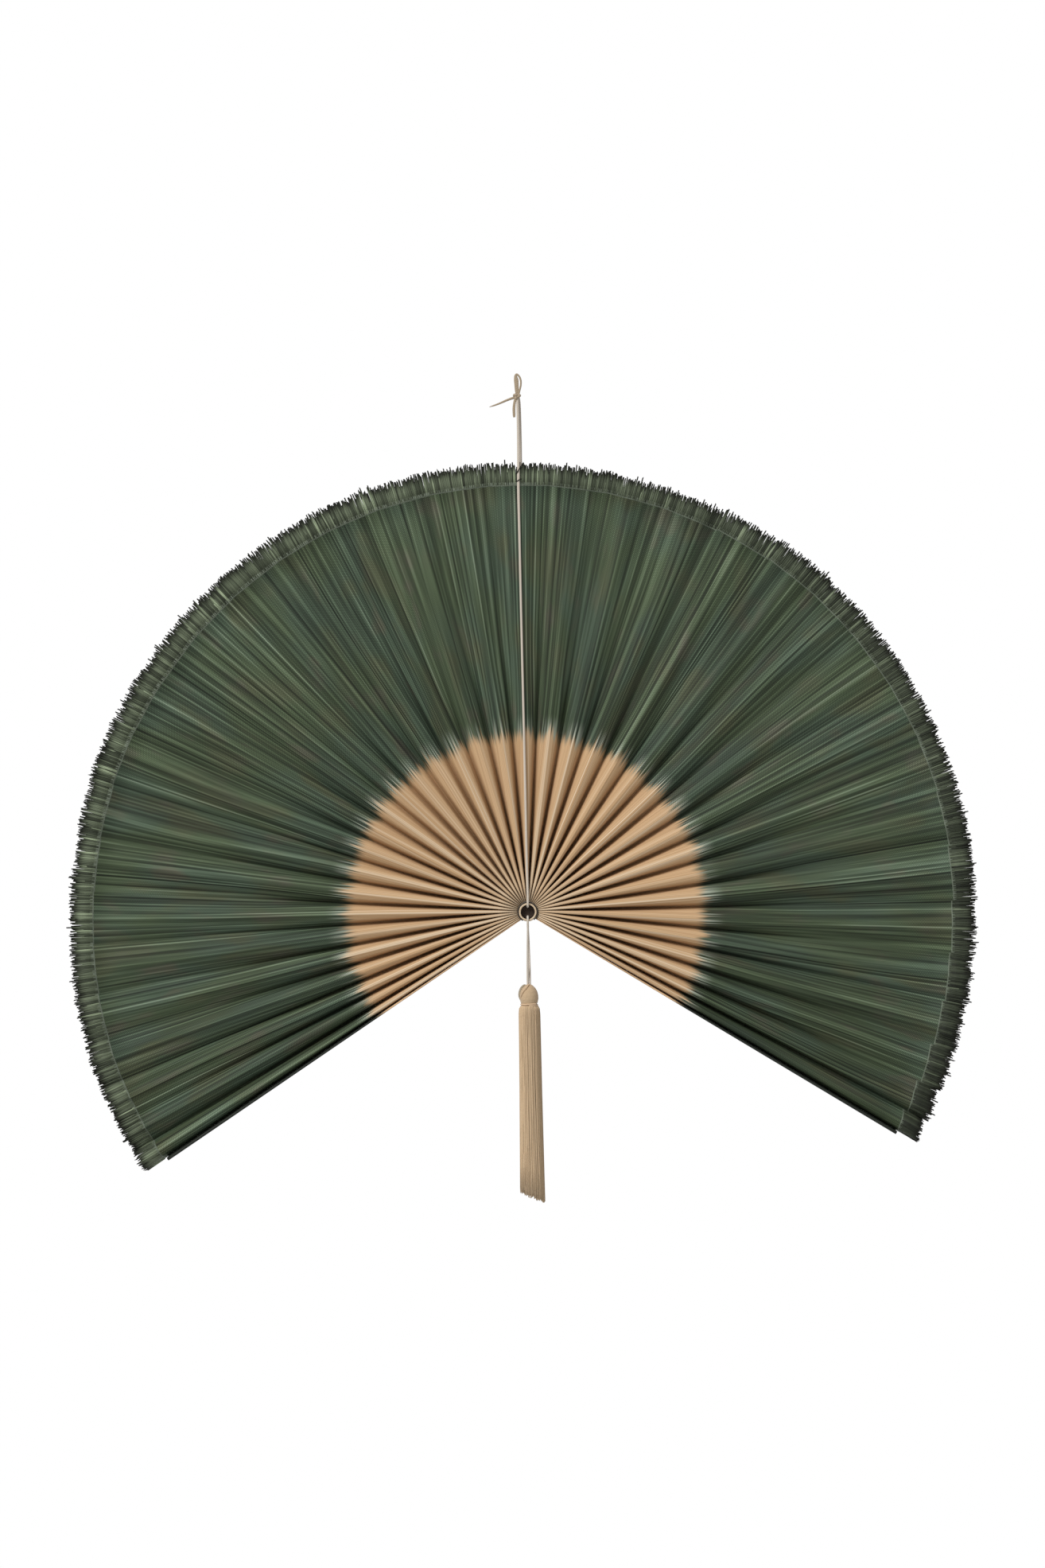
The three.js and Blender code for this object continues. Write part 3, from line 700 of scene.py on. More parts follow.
def pleat_surface(pleat, share):
    """Middle surface of a pleat, one row for each share of the way from tube to hem: half a rear fold, a leg,
    the front fold, the other leg mirrored, and half a rear fold, measured from the pleat's middle line."""
    share = np.asarray(share, float)[:, None]
    left, right = fold_point(pleat, share), fold_point(pleat + 1, share)
    pitch = np.linalg.norm(right - left, axis=-1)
    front, rear = fold_flats(pitch)
    room = pitch - front - rear
    side = (pleat + 0.5 - MIDDLE_PLACE) / MIDDLE_PLACE
    lean = (LEAN + RIGHT_LEAN * side) * np.sin(np.pi * share**0.6)
    drift = lean + ridge_drift[pleat, 0] * share + ridge_drift[pleat, 1] * np.sin(2 * np.pi * share)
    behind = [fold_levels(pleat + end, share, 2 * (pleat + end))[1] for end in (0, 1)]
    ahead = fold_levels(pleat + 0.5, share, 2 * pleat + 1)[0]
    rows_x, rows_y = [], []
    for end, sign in ((0, 1), (1, -1)):
        across, down = leg_shape(room * (0.5 + sign * drift))
        x = -sign * (pitch - rear) / 2 + sign * room * (0.5 + sign * drift) * across
        along = np.linspace(0, 1, LEG_POINTS + 1)
        once, again = leg_bow[pleat, end]
        bow = once * share**1.5 + again * share * np.sin(4 * share)
        once, again = leg_double_bow[pleat, end]
        twice = once * share + again * share * np.sin(3 * share)
        y = behind[end] + (ahead - behind[end]) * down
        y = y + share * (bow * np.sin(np.pi * along) + twice * np.sin(2 * np.pi * along))
        rows_x.append(x[:, ::sign])
        rows_y.append(y[:, ::sign])
    half = np.array([0, 0.5])
    crown = np.array([0.25, 0.5, 0.75])
    ridge_left, ridge_right = rows_x[0][:, -1:], rows_x[1][:, :1]
    ridge = ridge_left + (ridge_right - ridge_left) * crown
    x = np.concatenate([-pitch / 2 + rear / 2 * half, rows_x[0], ridge, rows_x[1],
                        pitch / 2 - rear / 2 * half[::-1]], -1)
    y = np.concatenate([np.repeat(behind[0], 2, -1), rows_y[0], np.repeat(ahead, 3, -1), rows_y[1],
                        np.repeat(behind[1], 2, -1)], -1)
    middle = (left + right) / 2
    return middle + x[..., None] * unit(right - left) + y[..., None] * np.array([0, 1, 0])


def surface_normals(points):
    """The cross product of the directions across the sticks and along them, which faces the viewer."""
    return unit(np.cross(np.gradient(points, axis=1), np.gradient(points, axis=0)))


HEM_TURN = [-122, -109, -85, -69, -56, -28, 0, 22, 37, 70, 92, 120]
HEM_PAST = [7.4, 8.2, 5.0, 6.3, 5.3, 6.4, 6.2, 6.4, 8.7, 7.9, 3.4, 2.6]
TIP_PAST = [2.8, 4.2, 0.5, 3.6, 1.6, 3.0, 0.3, -0.8, 4.4, 1.0, -0.4, -2.5]
SLANT_FROM, SLANT_GAIN, SLANT_POWER = 29, 0.5, 4
RIB_LOW, HEM_THICKER = 0.45, 0.25


def hem_reach(pleat):
    """How far in mm the woven part and the stick ends go past their circles, by degrees round the tube,
    because the mat wasn't cut quite even. Then how far the hem slants: the last pleats at the right aren't
    pulled straight, so each hem runs outwards from its left fold to its right fold."""
    aim = fold_point(pleat + 0.5, 1.0) - HUB
    turn = np.degrees(np.arctan2(aim[0], aim[2]))
    slant = SLANT_GAIN * max(0, pleat + 0.5 - SLANT_FROM)
    return np.interp(turn, HEM_TURN, HEM_PAST), np.interp(turn, HEM_TURN, TIP_PAST), slant


def woven_sheet(pleat):
    """The pleat's sheet with a rib for each stick, its map, and its quads."""
    count = np.linspace(0, STICKS, STICKS * RIB_POINTS + 1) + 0.5
    hem_share = 1 - HEM_WIDTH / LEAF_REACH
    share = np.concatenate([np.linspace(0, hem_share, ROWS), [hem_share + 1e-4, 1.0]])
    reach, _, slant = hem_reach(pleat)
    middle = pleat_surface(pleat, share * (1 + reach / LEAF_REACH))
    outward = unit(np.gradient(middle, axis=0))
    slanted = share[:, None] ** SLANT_POWER * slant * np.linspace(-1, 1, len(count))
    middle = middle + outward * slanted[..., None]
    rib = np.sqrt(np.abs(np.sin(np.pi * (count % 1))))
    hem = (share > hem_share)[:, None] * HEM_THICKER
    half = MAT_THICKNESS / 2 * (RIB_LOW + (1 - RIB_LOW) * rib[None, :] + hem)
    lift = surface_normals(middle) * half[..., None]
    distance = INNER_RADIUS + share * LEAF_REACH
    uv = together(count[None, :] + STICKS * pleat, distance[:, None])
    points = np.concatenate([middle + lift, middle - lift])
    return points, np.concatenate([uv, uv]), sheet_quads(len(share), len(count))


# %% Bare stick ends
FRINGE_STICKS = 48
NEAR_HEM, STICK_SEAT, LAYER_STEP, LAYER_SHORT = 0.96, 3.0, 0.4, 4.0
TIP_TAPER, TIP_SLANT, SPLAY = 0.85, 0.6, 0.02
END_LONGER, END_UNEVEN, LONG_EXTRA, LONG_CHANCE = 0.6, 1.5, 3, 0.06
END_STATIONS = np.array([0, 0.4, 0.9, 1.0])
END_SECTION = np.array([[-0.76, -0.26], [0.76, -0.26], [0.62, 0.26], [-0.62, 0.26]])


def stick_ends(pleat, layer):
    """One four-sided end for each split of a stick: a section carried from inside the hem to a slanted tip.
    The mat is two sticks thick at its hem. So a second, shorter layer lies behind the gaps of the first."""
    reach, tip_reach, slant = hem_reach(pleat)
    rows = pleat_surface(pleat, np.array([NEAR_HEM, 1.0]) * (1 + reach / LEAF_REACH))
    column = ((np.arange(FRINGE_STICKS) + 0.5 * layer) * STICKS * RIB_POINTS / FRINGE_STICKS).astype(int)
    normal = surface_normals(rows)[1, column]
    rows = rows[:, column]
    out = unit(rows[1] - rows[0])
    slanted = slant * (2 * column / (STICKS * RIB_POINTS) - 1)
    root = rows[1] - normal * LAYER_STEP * layer + out * slanted[:, None]
    beside = np.cross(out, normal)
    length = FRINGE_LENGTH + tip_reach - reach + STICK_SEAT - LAYER_SHORT * layer
    length = length + chance.normal(END_LONGER, END_UNEVEN, FRINGE_STICKS).clip(-4, 3)
    length = length + LONG_EXTRA * (chance.random(FRINGE_STICKS) < LONG_CHANCE)
    splay = chance.normal(0, SPLAY, (FRINGE_STICKS, 2))
    out = unit(out + splay[:, :1] * beside + splay[:, 1:] * normal)
    along = END_STATIONS[None, :, None] * length[:, None, None]
    cut = chance.normal(0, TIP_SLANT, (FRINGE_STICKS, 1, 1)) * (END_STATIONS == 1)[None, :, None]
    taper = np.where(END_STATIONS == 1, TIP_TAPER, 1.0)[None, :, None]
    past = along + cut * END_SECTION[None, None, :, 0] - STICK_SEAT
    points = root[:, None, None] + past[..., None] * out[:, None, None]
    points = points + (END_SECTION[:, 0] * taper)[..., None] * beside[:, None, None]
    points = points + (END_SECTION[:, 1] * taper)[..., None] * normal[:, None, None]
    share = np.clip(along - STICK_SEAT, 0.4, None) / (length[:, None, None] - STICK_SEAT)
    number = column // RIB_POINTS + STICKS // 2 * layer
    # The map puts each end's sides towards its stick's edges, where the mat's painted shade between sticks
    # darkens them.
    count = STICKS * pleat + number[:, None, None] + 0.5 + END_SECTION[:, 0] * 0.5
    uv = together(count, LEAF_RADIUS + FRINGE_LENGTH * share)
    quads = repeated(tube_quads(len(END_STATIONS), 4), len(END_STATIONS) * 4, FRINGE_STICKS)
    return points, uv, quads


STRAY_SIDES, STRAY_THICK, STRAY_STEP, STRAY_TONE = 8, 1.2, 2.0, 0.9
STRAY_ROUTES = [[(-0.6, -4.2, -109.4), (1.6, -6.1, -105.6), (7.2, -6.3, -97)],
                [(-0.2, -4.6, -118), (2.2, -6.2, -116.2), (4.9, -4.8, -115)]]


def stray_stick(pleat, route):
    """A bent stick end that lies over the cord: a round section carried along a short path."""
    stick_path, _ = smooth_path(route, STRAY_STEP)
    section = STRAY_THICK / 2 * circle(STRAY_SIDES)[None]
    points = carried(stick_path, np.array([0.0, 1, 0]), section)
    stick, distance = STICKS * (pleat + 0.5) + 0.5, LEAF_RADIUS + STRAY_TONE * FRINGE_LENGTH
    uv = np.full((*points.shape[:2], 2), (stick, distance))
    return points, uv, tube_quads(len(stick_path), STRAY_SIDES)


# %% Make the pleats
triangles = 0
for pleat in range(PLEATS):
    name = f"pleat_{pleat + 1:02d}"
    held = name not in frame["bodies"]
    made = [woven_sheet(pleat), stick_ends(pleat, 0), stick_ends(pleat, 1)]
    if held:
        made += [stray_stick(pleat, route) for route in STRAY_ROUTES]
    points, lay, faces = joined(made)
    piece = mesh_piece("woven_" + name, points, faces, lay)
    dress(piece, "hanger" if held else name, "dyed_mat", WOVEN_MAT, name)
    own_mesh(piece)
    triangles += 2 * len(piece.data.polygons)
print("pleats:", PLEATS, "triangles:", triangles)

# %% [markdown]
# ## End slats
# A smooth strip of bamboo closes the leaf at each end and stands square to it. It was dyed with the mat, so
# it is tan near the tube and nearly black further out. It is a rounded rectangle carried along the last
# rear fold. A bevelled box would nearly do, but a slat grows thicker towards the hem.

# %% Slat finish
SLAT_TAN, SLAT_DYED = paint(204, 170, 132), paint(34, 38, 32)


def stained_slat():
    """Tan near the tube and dyed further out, with fine grain along it."""
    material, graph, shader = finish_of("stained_slat")
    across, distance = surface_place(graph)
    grain = placed(graph, STICK_GRAIN, Stick=across, Distance=distance)["Grain"]
    fibre = graph.times(across, 0.2)
    dyed = placed(graph, DYE_EDGE, Stick=fibre, Distance=distance, Rubbed=0.0, Valley=0.0)[0]
    colour = graph.blend(dyed, SLAT_TAN, SLAT_DYED)
    graph.put(shader.inputs["Base Color"], graph.shade(colour, graph.ramp(grain, 0.25, 0.75, 0.7, 1.2)))
    graph.put(shader.inputs["Roughness"], graph.ramp(grain, 0.3, 0.7, 0.5, 0.65))
    shader.inputs["Specular IOR Level"].default_value = 0.2
    raised(graph, shader, grain, 0.0002, 0.4)
    return material


# %% Make the slats
SLAT_AT_HUB, SLAT_AT_HEM, SLAT_REAR = 1.2, 3.6, 18.5
SLAT_ROWS, SLAT_SIDES, SLAT_ROUND, SLAT_TOUCH = 40, 32, 5.0, 0.02
SLAT_FIBRES, FIRST_FIBRE = 8, 20
STAINED_SLAT = stained_slat()
slat_round = circle(SLAT_SIDES)
slat_round = np.sign(slat_round) * np.abs(slat_round) ** (2 / SLAT_ROUND)

for side, place, body in ((-1, 0, "slat_left"), (1, PLEATS, "slat_right")):
    share = np.linspace(0, 1, SLAT_ROWS)
    line = fold_point(place, share)
    along = unit(line[-1] - line[0])
    outward = side * np.cross(np.array([0, 1, 0]), along)
    thickness = SLAT_AT_HUB + (SLAT_AT_HEM - SLAT_AT_HUB) * share + LAYER_GAP / 2 - SLAT_TOUCH
    middle_y = (SLAT_REAR - LEG_WIDTH / 2) / 2
    half_deep = (SLAT_REAR + LEG_WIDTH / 2) / 2
    centre = line + outward * (SLAT_TOUCH + thickness[:, None] / 2) + np.array([0, middle_y, 0])
    points = centre[:, None] + outward * (slat_round[:, 0] * thickness[:, None] / 2)[..., None]
    points = points + np.array([0, 1, 0]) * (slat_round[:, 1] * half_deep)[None, :, None]
    distance = INNER_RADIUS + share * LEAF_REACH
    uv = together(slat_round[:, 1] * SLAT_FIBRES + FIRST_FIBRE, distance[:, None])
    quads = tube_quads(SLAT_ROWS, SLAT_SIDES)
    piece = mesh_piece("dressed_" + body, points, quads if side < 0 else quads[:, ::-1], uv)
    dress(piece, body, "edge_slat", STAINED_SLAT, "end_" + body)
print("slats:", round(SLAT_REAR + LEG_WIDTH / 2, 1), "mm deep")

# %% [markdown]
# ## Hub tube and binding wire
# The tube is a ring cut from a thin bamboo cane. Its cut end shows pale fibres, and its inside is painted
# dark brown as shade. A round profile is turned about the tube's axis, a little out of true, with a swelling
# where the cane had a node. Soft pith is left in its bore, a rippled disc with loose fibres round its edge,
# coloured dark as painted shade for the shadowed bore, and the cords are pushed through it. A thin dark wire
# keeps the folds on it. Spin could turn a profile too, but it gives a true circle, and cane isn't one.

# %% Hub finishes
CANE_PALE, CANE_DEEP, CANE_BORE_SHADE = paint(218, 200, 172), paint(188, 160, 126), paint(74, 52, 36)
WIRE_BLACK, WIRE_WORN = paint(30, 24, 18), paint(62, 50, 38)


def cane_end():
    """Pale cane with dark fibre dots, and painted shade in a dark brown inside the bore."""
    tones = CANE_DEEP, CANE_PALE
    material, graph, shader, dots, colour = mottled("cut_cane", 900.0, 2.0, tones, (0.35, 0.65), (0.45, 0.65))
    inside = surface_place(graph)[1]
    # Painted shade: the bore's inside is blended towards a dark brown.
    graph.put(shader.inputs["Base Color"], graph.blend(inside, colour, CANE_BORE_SHADE))
    raised(graph, shader, dots, 0.0003, 0.5)
    return material


def dark_wire():
    """Nearly black wire with small worn spots."""
    tones = WIRE_BLACK, WIRE_WORN
    material, _, shader, _, _ = mottled("dark_wire", 400.0, 3.0, tones, (0.5, 0.75), (0.35, 0.6))
    shader.inputs["Metallic"].default_value = 0.3
    return material


# %% Make the tube
HUB_WALL, HUB_CLEARANCE, HUB_PROUD, HUB_SHORT = 2.4, 1.45, 2.2, 4.2
HUB_RADIUS = INNER_RADIUS - HUB_CLEARANCE
HUB_SIDES, NODE_SWELL, RIM_POINTS, RIM_POWER = 96, 0.55, 40, 0.35
OVAL, UNEVEN_ROUND = 0.012, 0.006
tube_front, tube_back = -LEG_WIDTH / 2 - HUB_PROUD, LEG_WIDTH / 2 - HUB_SHORT
rim = circle(RIM_POINTS)[:, ::-1] * np.array([1, -1])
rim = np.sign(rim) * np.abs(rim) ** RIM_POWER
wall_radius = HUB_RADIUS - HUB_WALL / 2 + rim[:, 0] * HUB_WALL / 2
wall_along = (tube_front + tube_back) / 2 + rim[:, 1] * (tube_back - tube_front) / 2
around = turns(HUB_SIDES)[:, None]
untrue = 1 + OVAL * np.sin(2 * around + 0.6) + UNEVEN_ROUND * np.sin(5 * around)
swelling = NODE_SWELL * np.clip(rim[:, 0], 0, 1) * np.clip((wall_along - tube_front - 1.5) / 2, 0, 1)
ring = wall_radius[None, :] * untrue + swelling
hub_points = about_hub(ring, around, wall_along)
# Painted shade: the map marks the inside of the bore, away from its front edge, for the finish to darken.
bore_shade_share = np.clip(-rim[:, 0] * 2 - 0.6, 0, 1) * (wall_along > tube_front + 0.8)
hub_map = together(around, bore_shade_share)
hub_quads = grid_quads(HUB_SIDES + 1, RIM_POINTS, wrap=True) % (HUB_SIDES * RIM_POINTS)
hub_piece = mesh_piece("cane_tube", hub_points, hub_quads, hub_map)
dress(hub_piece, "hanger", "natural_bamboo", cane_end(), "hub_tube")
print("tube:", round(2 * HUB_RADIUS, 1), "mm across")

# %% Dark pith in the bore, coloured as painted shade
# Painted shade: the pith's dark browns stand for the shadow in the bore as well as the pith's own colour.
PITH_DARK, PITH_BROWN = paint(34, 23, 16), paint(66, 46, 31)
PITH_FRONT, PITH_BACK, PITH_RINGS, PITH_SIDES = 5.0, 9.0, 14, 60
PITH_SEAT, PITH_DISH, RIPPLE_WIDE, RIPPLE_FINE = 0.2, 2.0, 0.5, 0.4
FIBRES, FIBRE_ROWS, FIBRE_SEAT, FIBRE_DEEP, FIBRE_THICK = 90, 4, 0.4, 1.2, 0.28
SHORT_FIBRE, LONG_FIBRE, FIBRE_BEND, FIBRE_SPREAD, FIBRE_TAPER = 0.8, 2.6, 0.25, 3, 0.8


def shade_plug_pith():
    """Brown fibres that lie every way, coloured dark as painted shade for the bore, with painted shade in the
    hollows.
    """
    tones = PITH_DARK, PITH_BROWN
    material, graph, shader, fibre, _ = mottled("shade_plug_pith", 1400.0, 4.0, tones, (0.4, 0.7), (0.95, 0.8))
    raised(graph, shader, fibre, 0.0006, 0.8)
    return material


bore = HUB_RADIUS - HUB_WALL
pith_turn = turns(PITH_SIDES)[None, :]
pith_out = np.linspace(0.02, 1, PITH_RINGS // 2)
pith_share = np.concatenate([pith_out, pith_out[::-1]])[:, None]
pith_level = np.repeat([PITH_FRONT, PITH_BACK], PITH_RINGS // 2)[:, None]
pith_ripple = RIPPLE_WIDE * np.sin(5 * pith_turn + 1) * pith_share
pith_ripple = pith_ripple + RIPPLE_FINE * np.sin(9 * pith_turn) * pith_share**2
pith_ring = (bore + PITH_SEAT) * pith_share
pith_dish = PITH_DISH * (1 - pith_share**2) * (pith_level < PITH_BACK)
pith_points = about_hub(pith_ring, pith_turn, tube_front + pith_level + pith_ripple + pith_dish)
fibre_turn = chance.uniform(0, 2 * np.pi, (FIBRES, 1))
fibre_long = chance.uniform(SHORT_FIBRE, LONG_FIBRE, (FIBRES, 1))
fibre_bend = chance.normal(0, FIBRE_BEND, (FIBRES, 1))
fibre_share = np.linspace(0, 1, FIBRE_ROWS)[None, :]
fibre_angle = fibre_turn + fibre_bend * fibre_share * fibre_long / bore
fibre_reach = bore + FIBRE_SEAT - fibre_long * fibre_share
fibre_start = tube_front + FIBRE_DEEP + chance.uniform(0, FIBRE_SPREAD, (FIBRES, 1))
fibre_path = about_hub(fibre_reach, fibre_angle, fibre_start + FIBRE_DEEP * fibre_share)
fibre_thick = FIBRE_THICK * (1 - FIBRE_TAPER * fibre_share)[..., None, None]
fibre_ring = np.array([[0.9, 0, -0.5], [-0.9, 0, -0.5], [0, 1, 0.5], [0, -1, 0.5]])
fibre_points = fibre_path[:, :, None] + fibre_thick * fibre_ring
pith_faces = tube_quads(PITH_RINGS, PITH_SIDES)
fibre_faces = repeated(tube_quads(FIBRE_ROWS, 4), FIBRE_ROWS * 4, FIBRES) + pith_points.size // 3
pith_all = np.concatenate([pith_points.reshape(-1, 3), fibre_points.reshape(-1, 3)])
pith = mesh_piece("cane_pith_shade_plug", pith_all, np.concatenate([pith_faces, fibre_faces]))
dress(pith, "hanger", "natural_bamboo", shade_plug_pith())
print("pith:", FIBRES, "loose fibres")

# %% Make the wire
WIRE, WIRE_GAP, WIRE_HOOK, WIRE_COAT = 1.1, 0.3, 7.0, 0.2
ROUND_SIDES, WIRE_STOPS, WIRE_STEP = 12, 17, 0.6
wire_ring = HUB_RADIUS + WIRE_GAP + WIRE / 2
wire_y = -(LEG_WIDTH / 2 + MAT_THICKNESS / 2 + WIRE_GAP + WIRE / 2)
past_slat = LAYER_GAP / 2 + SLAT_AT_HUB + WIRE_GAP + WIRE / 2
wire_past = past_slat / INNER_RADIUS
wire_turn = np.linspace(angle_at_hub(0) - wire_past, angle_at_hub(PLEATS) + wire_past, WIRE_STOPS)
wire_points = HUB + polar(wire_ring, wire_turn) + np.array([0, wire_y, 0])
hook = np.array([0, WIRE_HOOK, 0])
wire_stops = [wire_points[0] + hook, *wire_points, wire_points[-1] + hook]
wire_path, wire_along = smooth_path(wire_stops, WIRE_STEP)
round_section = circle(ROUND_SIDES)
wire_tangent = unit(np.gradient(wire_path, axis=0))
wire_out = unit((wire_path - HUB) * np.array([1, 0, 1]))
wire_up = np.cross(wire_tangent, wire_out)
wire_skin = swept(wire_path, wire_out, wire_up, (WIRE + WIRE_COAT) / 2 * round_section[None])
wire_piece = mesh_piece("hub_wire", wire_skin, tube_quads(len(wire_path), ROUND_SIDES))
dress(wire_piece, "hanger", "dark_wire", dark_wire(), "binding_wire")
print("wire:", round(wire_along[-1]), "mm long")

# %% [markdown]
# ## Cords
# The hanging cord is one soft three-strand cotton cord. From the knot it runs down the front, through the
# tube and up behind. The tassel's cord is doubled through the tube too. A twisted cord is a three-lobed
# section that turns as it goes. Its map counts the turns, so that the finish can paint shade into the grooves
# between the strands. Three separate strands could be twisted too, but that takes more faces than can be
# seen.

# %% Cotton finish
COTTON_PALE, COTTON_DEEP = paint(214, 203, 189), paint(182, 170, 153)
HANDLED_PALE, HANDLED_DEEP = paint(180, 162, 137), paint(138, 121, 98)


def twist_effect():
    """Fuzzy fibres along the strands, and painted shade in their grooves, from the place round the cord and
    the distance along it.
    """
    tree, graph, given, made = effect("twisted fibres and groove shade", ["Round", "Along"], ["Tone", "Height"])
    # Painted shade: the colour is deeper in the grooves between the strands.
    painted_strand_shade = graph.math("ABSOLUTE", graph.math("SINE", graph.times(given["Round"], np.pi)))
    place = graph.vector(graph.times(given["Round"], 9.0), graph.times(given["Along"], 0.5), 0.0)
    fibre = graph.noise(place, 1.0, 3.0)
    mixed = graph.plus(graph.times(painted_strand_shade, 0.3), graph.times(fibre, 0.75))
    graph.put(made["Tone"], mixed)
    graph.put(made["Height"], fibre)
    return tree


TWISTED_FIBRES_AND_GROOVE_SHADE = twist_effect()


def cotton(name, pale, deep):
    """Matt cotton, its deep colour painted into the grooves as shade and its pale one on the strands, with a
    little sheen.
    """
    material, graph, shader = finish_of(name)
    around, along = surface_place(graph)
    tone, height = placed(graph, TWISTED_FIBRES_AND_GROOVE_SHADE, Round=around, Along=along)
    # Painted shade: the deep colour falls in the grooves between strands, mixed with the fibres' own tones.
    graph.put(shader.inputs["Base Color"], graph.blend(graph.ramp(tone, 0.1, 0.85), deep, pale))
    shader.inputs["Roughness"].default_value = 0.9
    shader.inputs["Sheen Weight"].default_value = 0.25
    shader.inputs["Sheen Roughness"].default_value = 0.5
    raised(graph, shader, height, 0.0003, 0.6)
    return material


COTTON = cotton("twisted_cotton", COTTON_PALE, COTTON_DEEP)
HANDLED_COTTON = cotton("handled_cotton", HANDLED_PALE, HANDLED_DEEP)
print("cottons:", COTTON.name, HANDLED_COTTON.name)

# %% Cord routes and twist
CORD, TAIL, STRANDS, CORD_SIDES, CORD_LAY, CORD_STEP = 2.4, 2.0, 3, 18, 7.0, 0.6
GROOVE, COUNT_FROM = 0.04, 1000
HANGING_ROUTE = [
    (0.2, -0.8, -24.4), (0.6, -1.6, -28.4), (1.4, -2.4, -60), (1.7, -3.9, -98), (1.7, -4.7, -125),
    (2.6, -6.3, -168), (4.2, -8.9, -238), (6.8, -12.9, -352), (9.4, -16.5, -467), (10.9, -18.1, -536),
    (11.7, -19, -564), (12, -19.9, -579), (12, -19.9, -583.4), (12, -18.4, -586.2), (12, -14.6, -587.2),
    (12, -5, -587.4), (12, 5, -587.4), (12, 12, -587), (12, 16.4, -584.4), (12, 17.8, -580),
    (11.6, 17.8, -562), (10.9, 16.9, -530), (9.6, 14.6, -467), (7.6, 11.2, -352), (5.8, 7.8, -238),
    (4.6, 4.6, -125), (3.9, 2.8, -70), (2.4, 1.6, -28.4), (1.6, 0.8, -24.4),
]
LOOP_ROUTE = [(0.4, 0, -22.5), (0, 0, -17), (-0.4, 0, -11), (-0.8, 0, -5), (-1.3, 0, -0.6), (-0.2, 0, 1),
              (2.4, 0, -1), (4.2, 0, -5.5), (4.2, 0, -11), (2.9, 0, -17), (1.6, 0, -22.5)]
LONG_TAIL_ROUTE = [(0, -0.4, -24), (-5.1, -1.2, -25.4), (-12, -1.6, -28), (-20, -2.2, -31.6),
                   (-30.4, -2, -35.2)]
SHORT_TAIL_ROUTE = [(-0.8, -1, -24), (-2.2, -2, -28.4), (-3.2, -2.6, -36), (-3, -2.4, -46.6)]
HANGING_PRESSED = ((0, 1.25, 0.9), (0.09, 1.25, 0.9), (0.15, 1.05, 0.95), (0.85, 1.05, 0.95),
                   (1, 1.25, 0.9))
LOOP_PRESSED = ((0, 0.7, 1.2), (0.1, 0.6, 1.9), (0.36, 0.6, 2.2), (0.44, 0.7, 1.4), (0.52, 0.8, 0.9),
                (1, 0.8, 0.85))
LONG_PRESSED = ((0, 1.2, 1.5), (0.4, 1, 1.25), (0.85, 0.7, 0.85), (1, 0.3, 0.3))
SHORT_PRESSED = ((0, 0.8, 1.4), (0.6, 0.6, 1.7), (0.9, 0.5, 1.6), (1, 0.4, 1.2))
TASSEL_ROUTE = [
    (-1, 0, -78), (-1.2, -0.3, -71.2), (-1.2, -1.6, -60), (-0.6, -9, -30), (0, -17, -10), (0, -19.8, -2),
    (0, -19.4, 2), (0, -17.3, 3.4), (0, -14.6, 3.7), (0, -5, 3.8), (0, 4, 3.8), (0, 12, 3.7), (0, 15.6, 2.2),
    (0, 17.2, -2), (0, 15, -10), (0.6, 9, -30), (1.2, 1.8, -60), (1.2, 0.3, -71.2), (1, 0, -78),
]


def twisted_cord(name, route, diameter, reference, pressed=((0, 1, 1), (1, 1, 1))):
    """A three-lobed section turned once in each lay. pressed lists shares of the length, and how many times
    as thick and as wide the cord is there, because handled cord is pressed flat and a cut end is thin."""
    path, along = smooth_path(route, CORD_STEP)
    around = turns(CORD_SIDES)[None, :]
    turned = STRANDS * (around / (2 * np.pi) - along[:, None] / CORD_LAY)
    radius = diameter / 2 * (1 - GROOVE * (1 - np.abs(np.sin(np.pi * turned))))
    where, thick, wide = np.array(pressed, float).T
    thick, wide = (np.interp(along / along[-1], where, size)[:, None] for size in (thick, wide))
    section = np.stack([thick * radius * np.cos(around), wide * radius * np.sin(around)], -1)
    points = carried(path, np.array(reference, float), section)
    uv = together(turned + COUNT_FROM, along[:, None])
    return mesh_piece(name, points, tube_quads(len(path), CORD_SIDES), uv), path, along[-1]


# %% Make the hanging cord
ACROSS, FORWARDS = (1, 0, 0), (0, 1, 0)
hanging, hanging_path, hanging_length = twisted_cord("hanging_cotton", HANGING_ROUTE, CORD, ACROSS,
                                                     HANGING_PRESSED)
loop, _, loop_length = twisted_cord("nail_loop_cotton", LOOP_ROUTE, CORD, FORWARDS, LOOP_PRESSED)
long_tail, _, _ = twisted_cord("long_cut_end", LONG_TAIL_ROUTE, TAIL, FORWARDS, LONG_PRESSED)
short_tail, _, _ = twisted_cord("short_cut_end", SHORT_TAIL_ROUTE, TAIL, FORWARDS, SHORT_PRESSED)
dress(hanging, "hanger", "cotton_cord", COTTON, "hanging_cord")
dress(loop, "hanger", "cotton_cord", HANDLED_COTTON, "hanging_loop")
dress(long_tail, "hanger", "cotton_cord", HANDLED_COTTON, "knot_tail_long")
dress(short_tail, "hanger", "cotton_cord", HANDLED_COTTON, "knot_tail_short")
print("hanging cord:", round(hanging_length), "mm, loop", round(loop_length), "mm")

# %% [markdown]
# ## The knot
# Under the loop the doubled cord is tied in one overhand knot. Its cord runs on a trefoil, the simplest
# knotted curve, drawn tight and squeezed to the size of the solid, so that strands cross on every side.
# Tying it by simulation would take long, and its size would be left to chance.

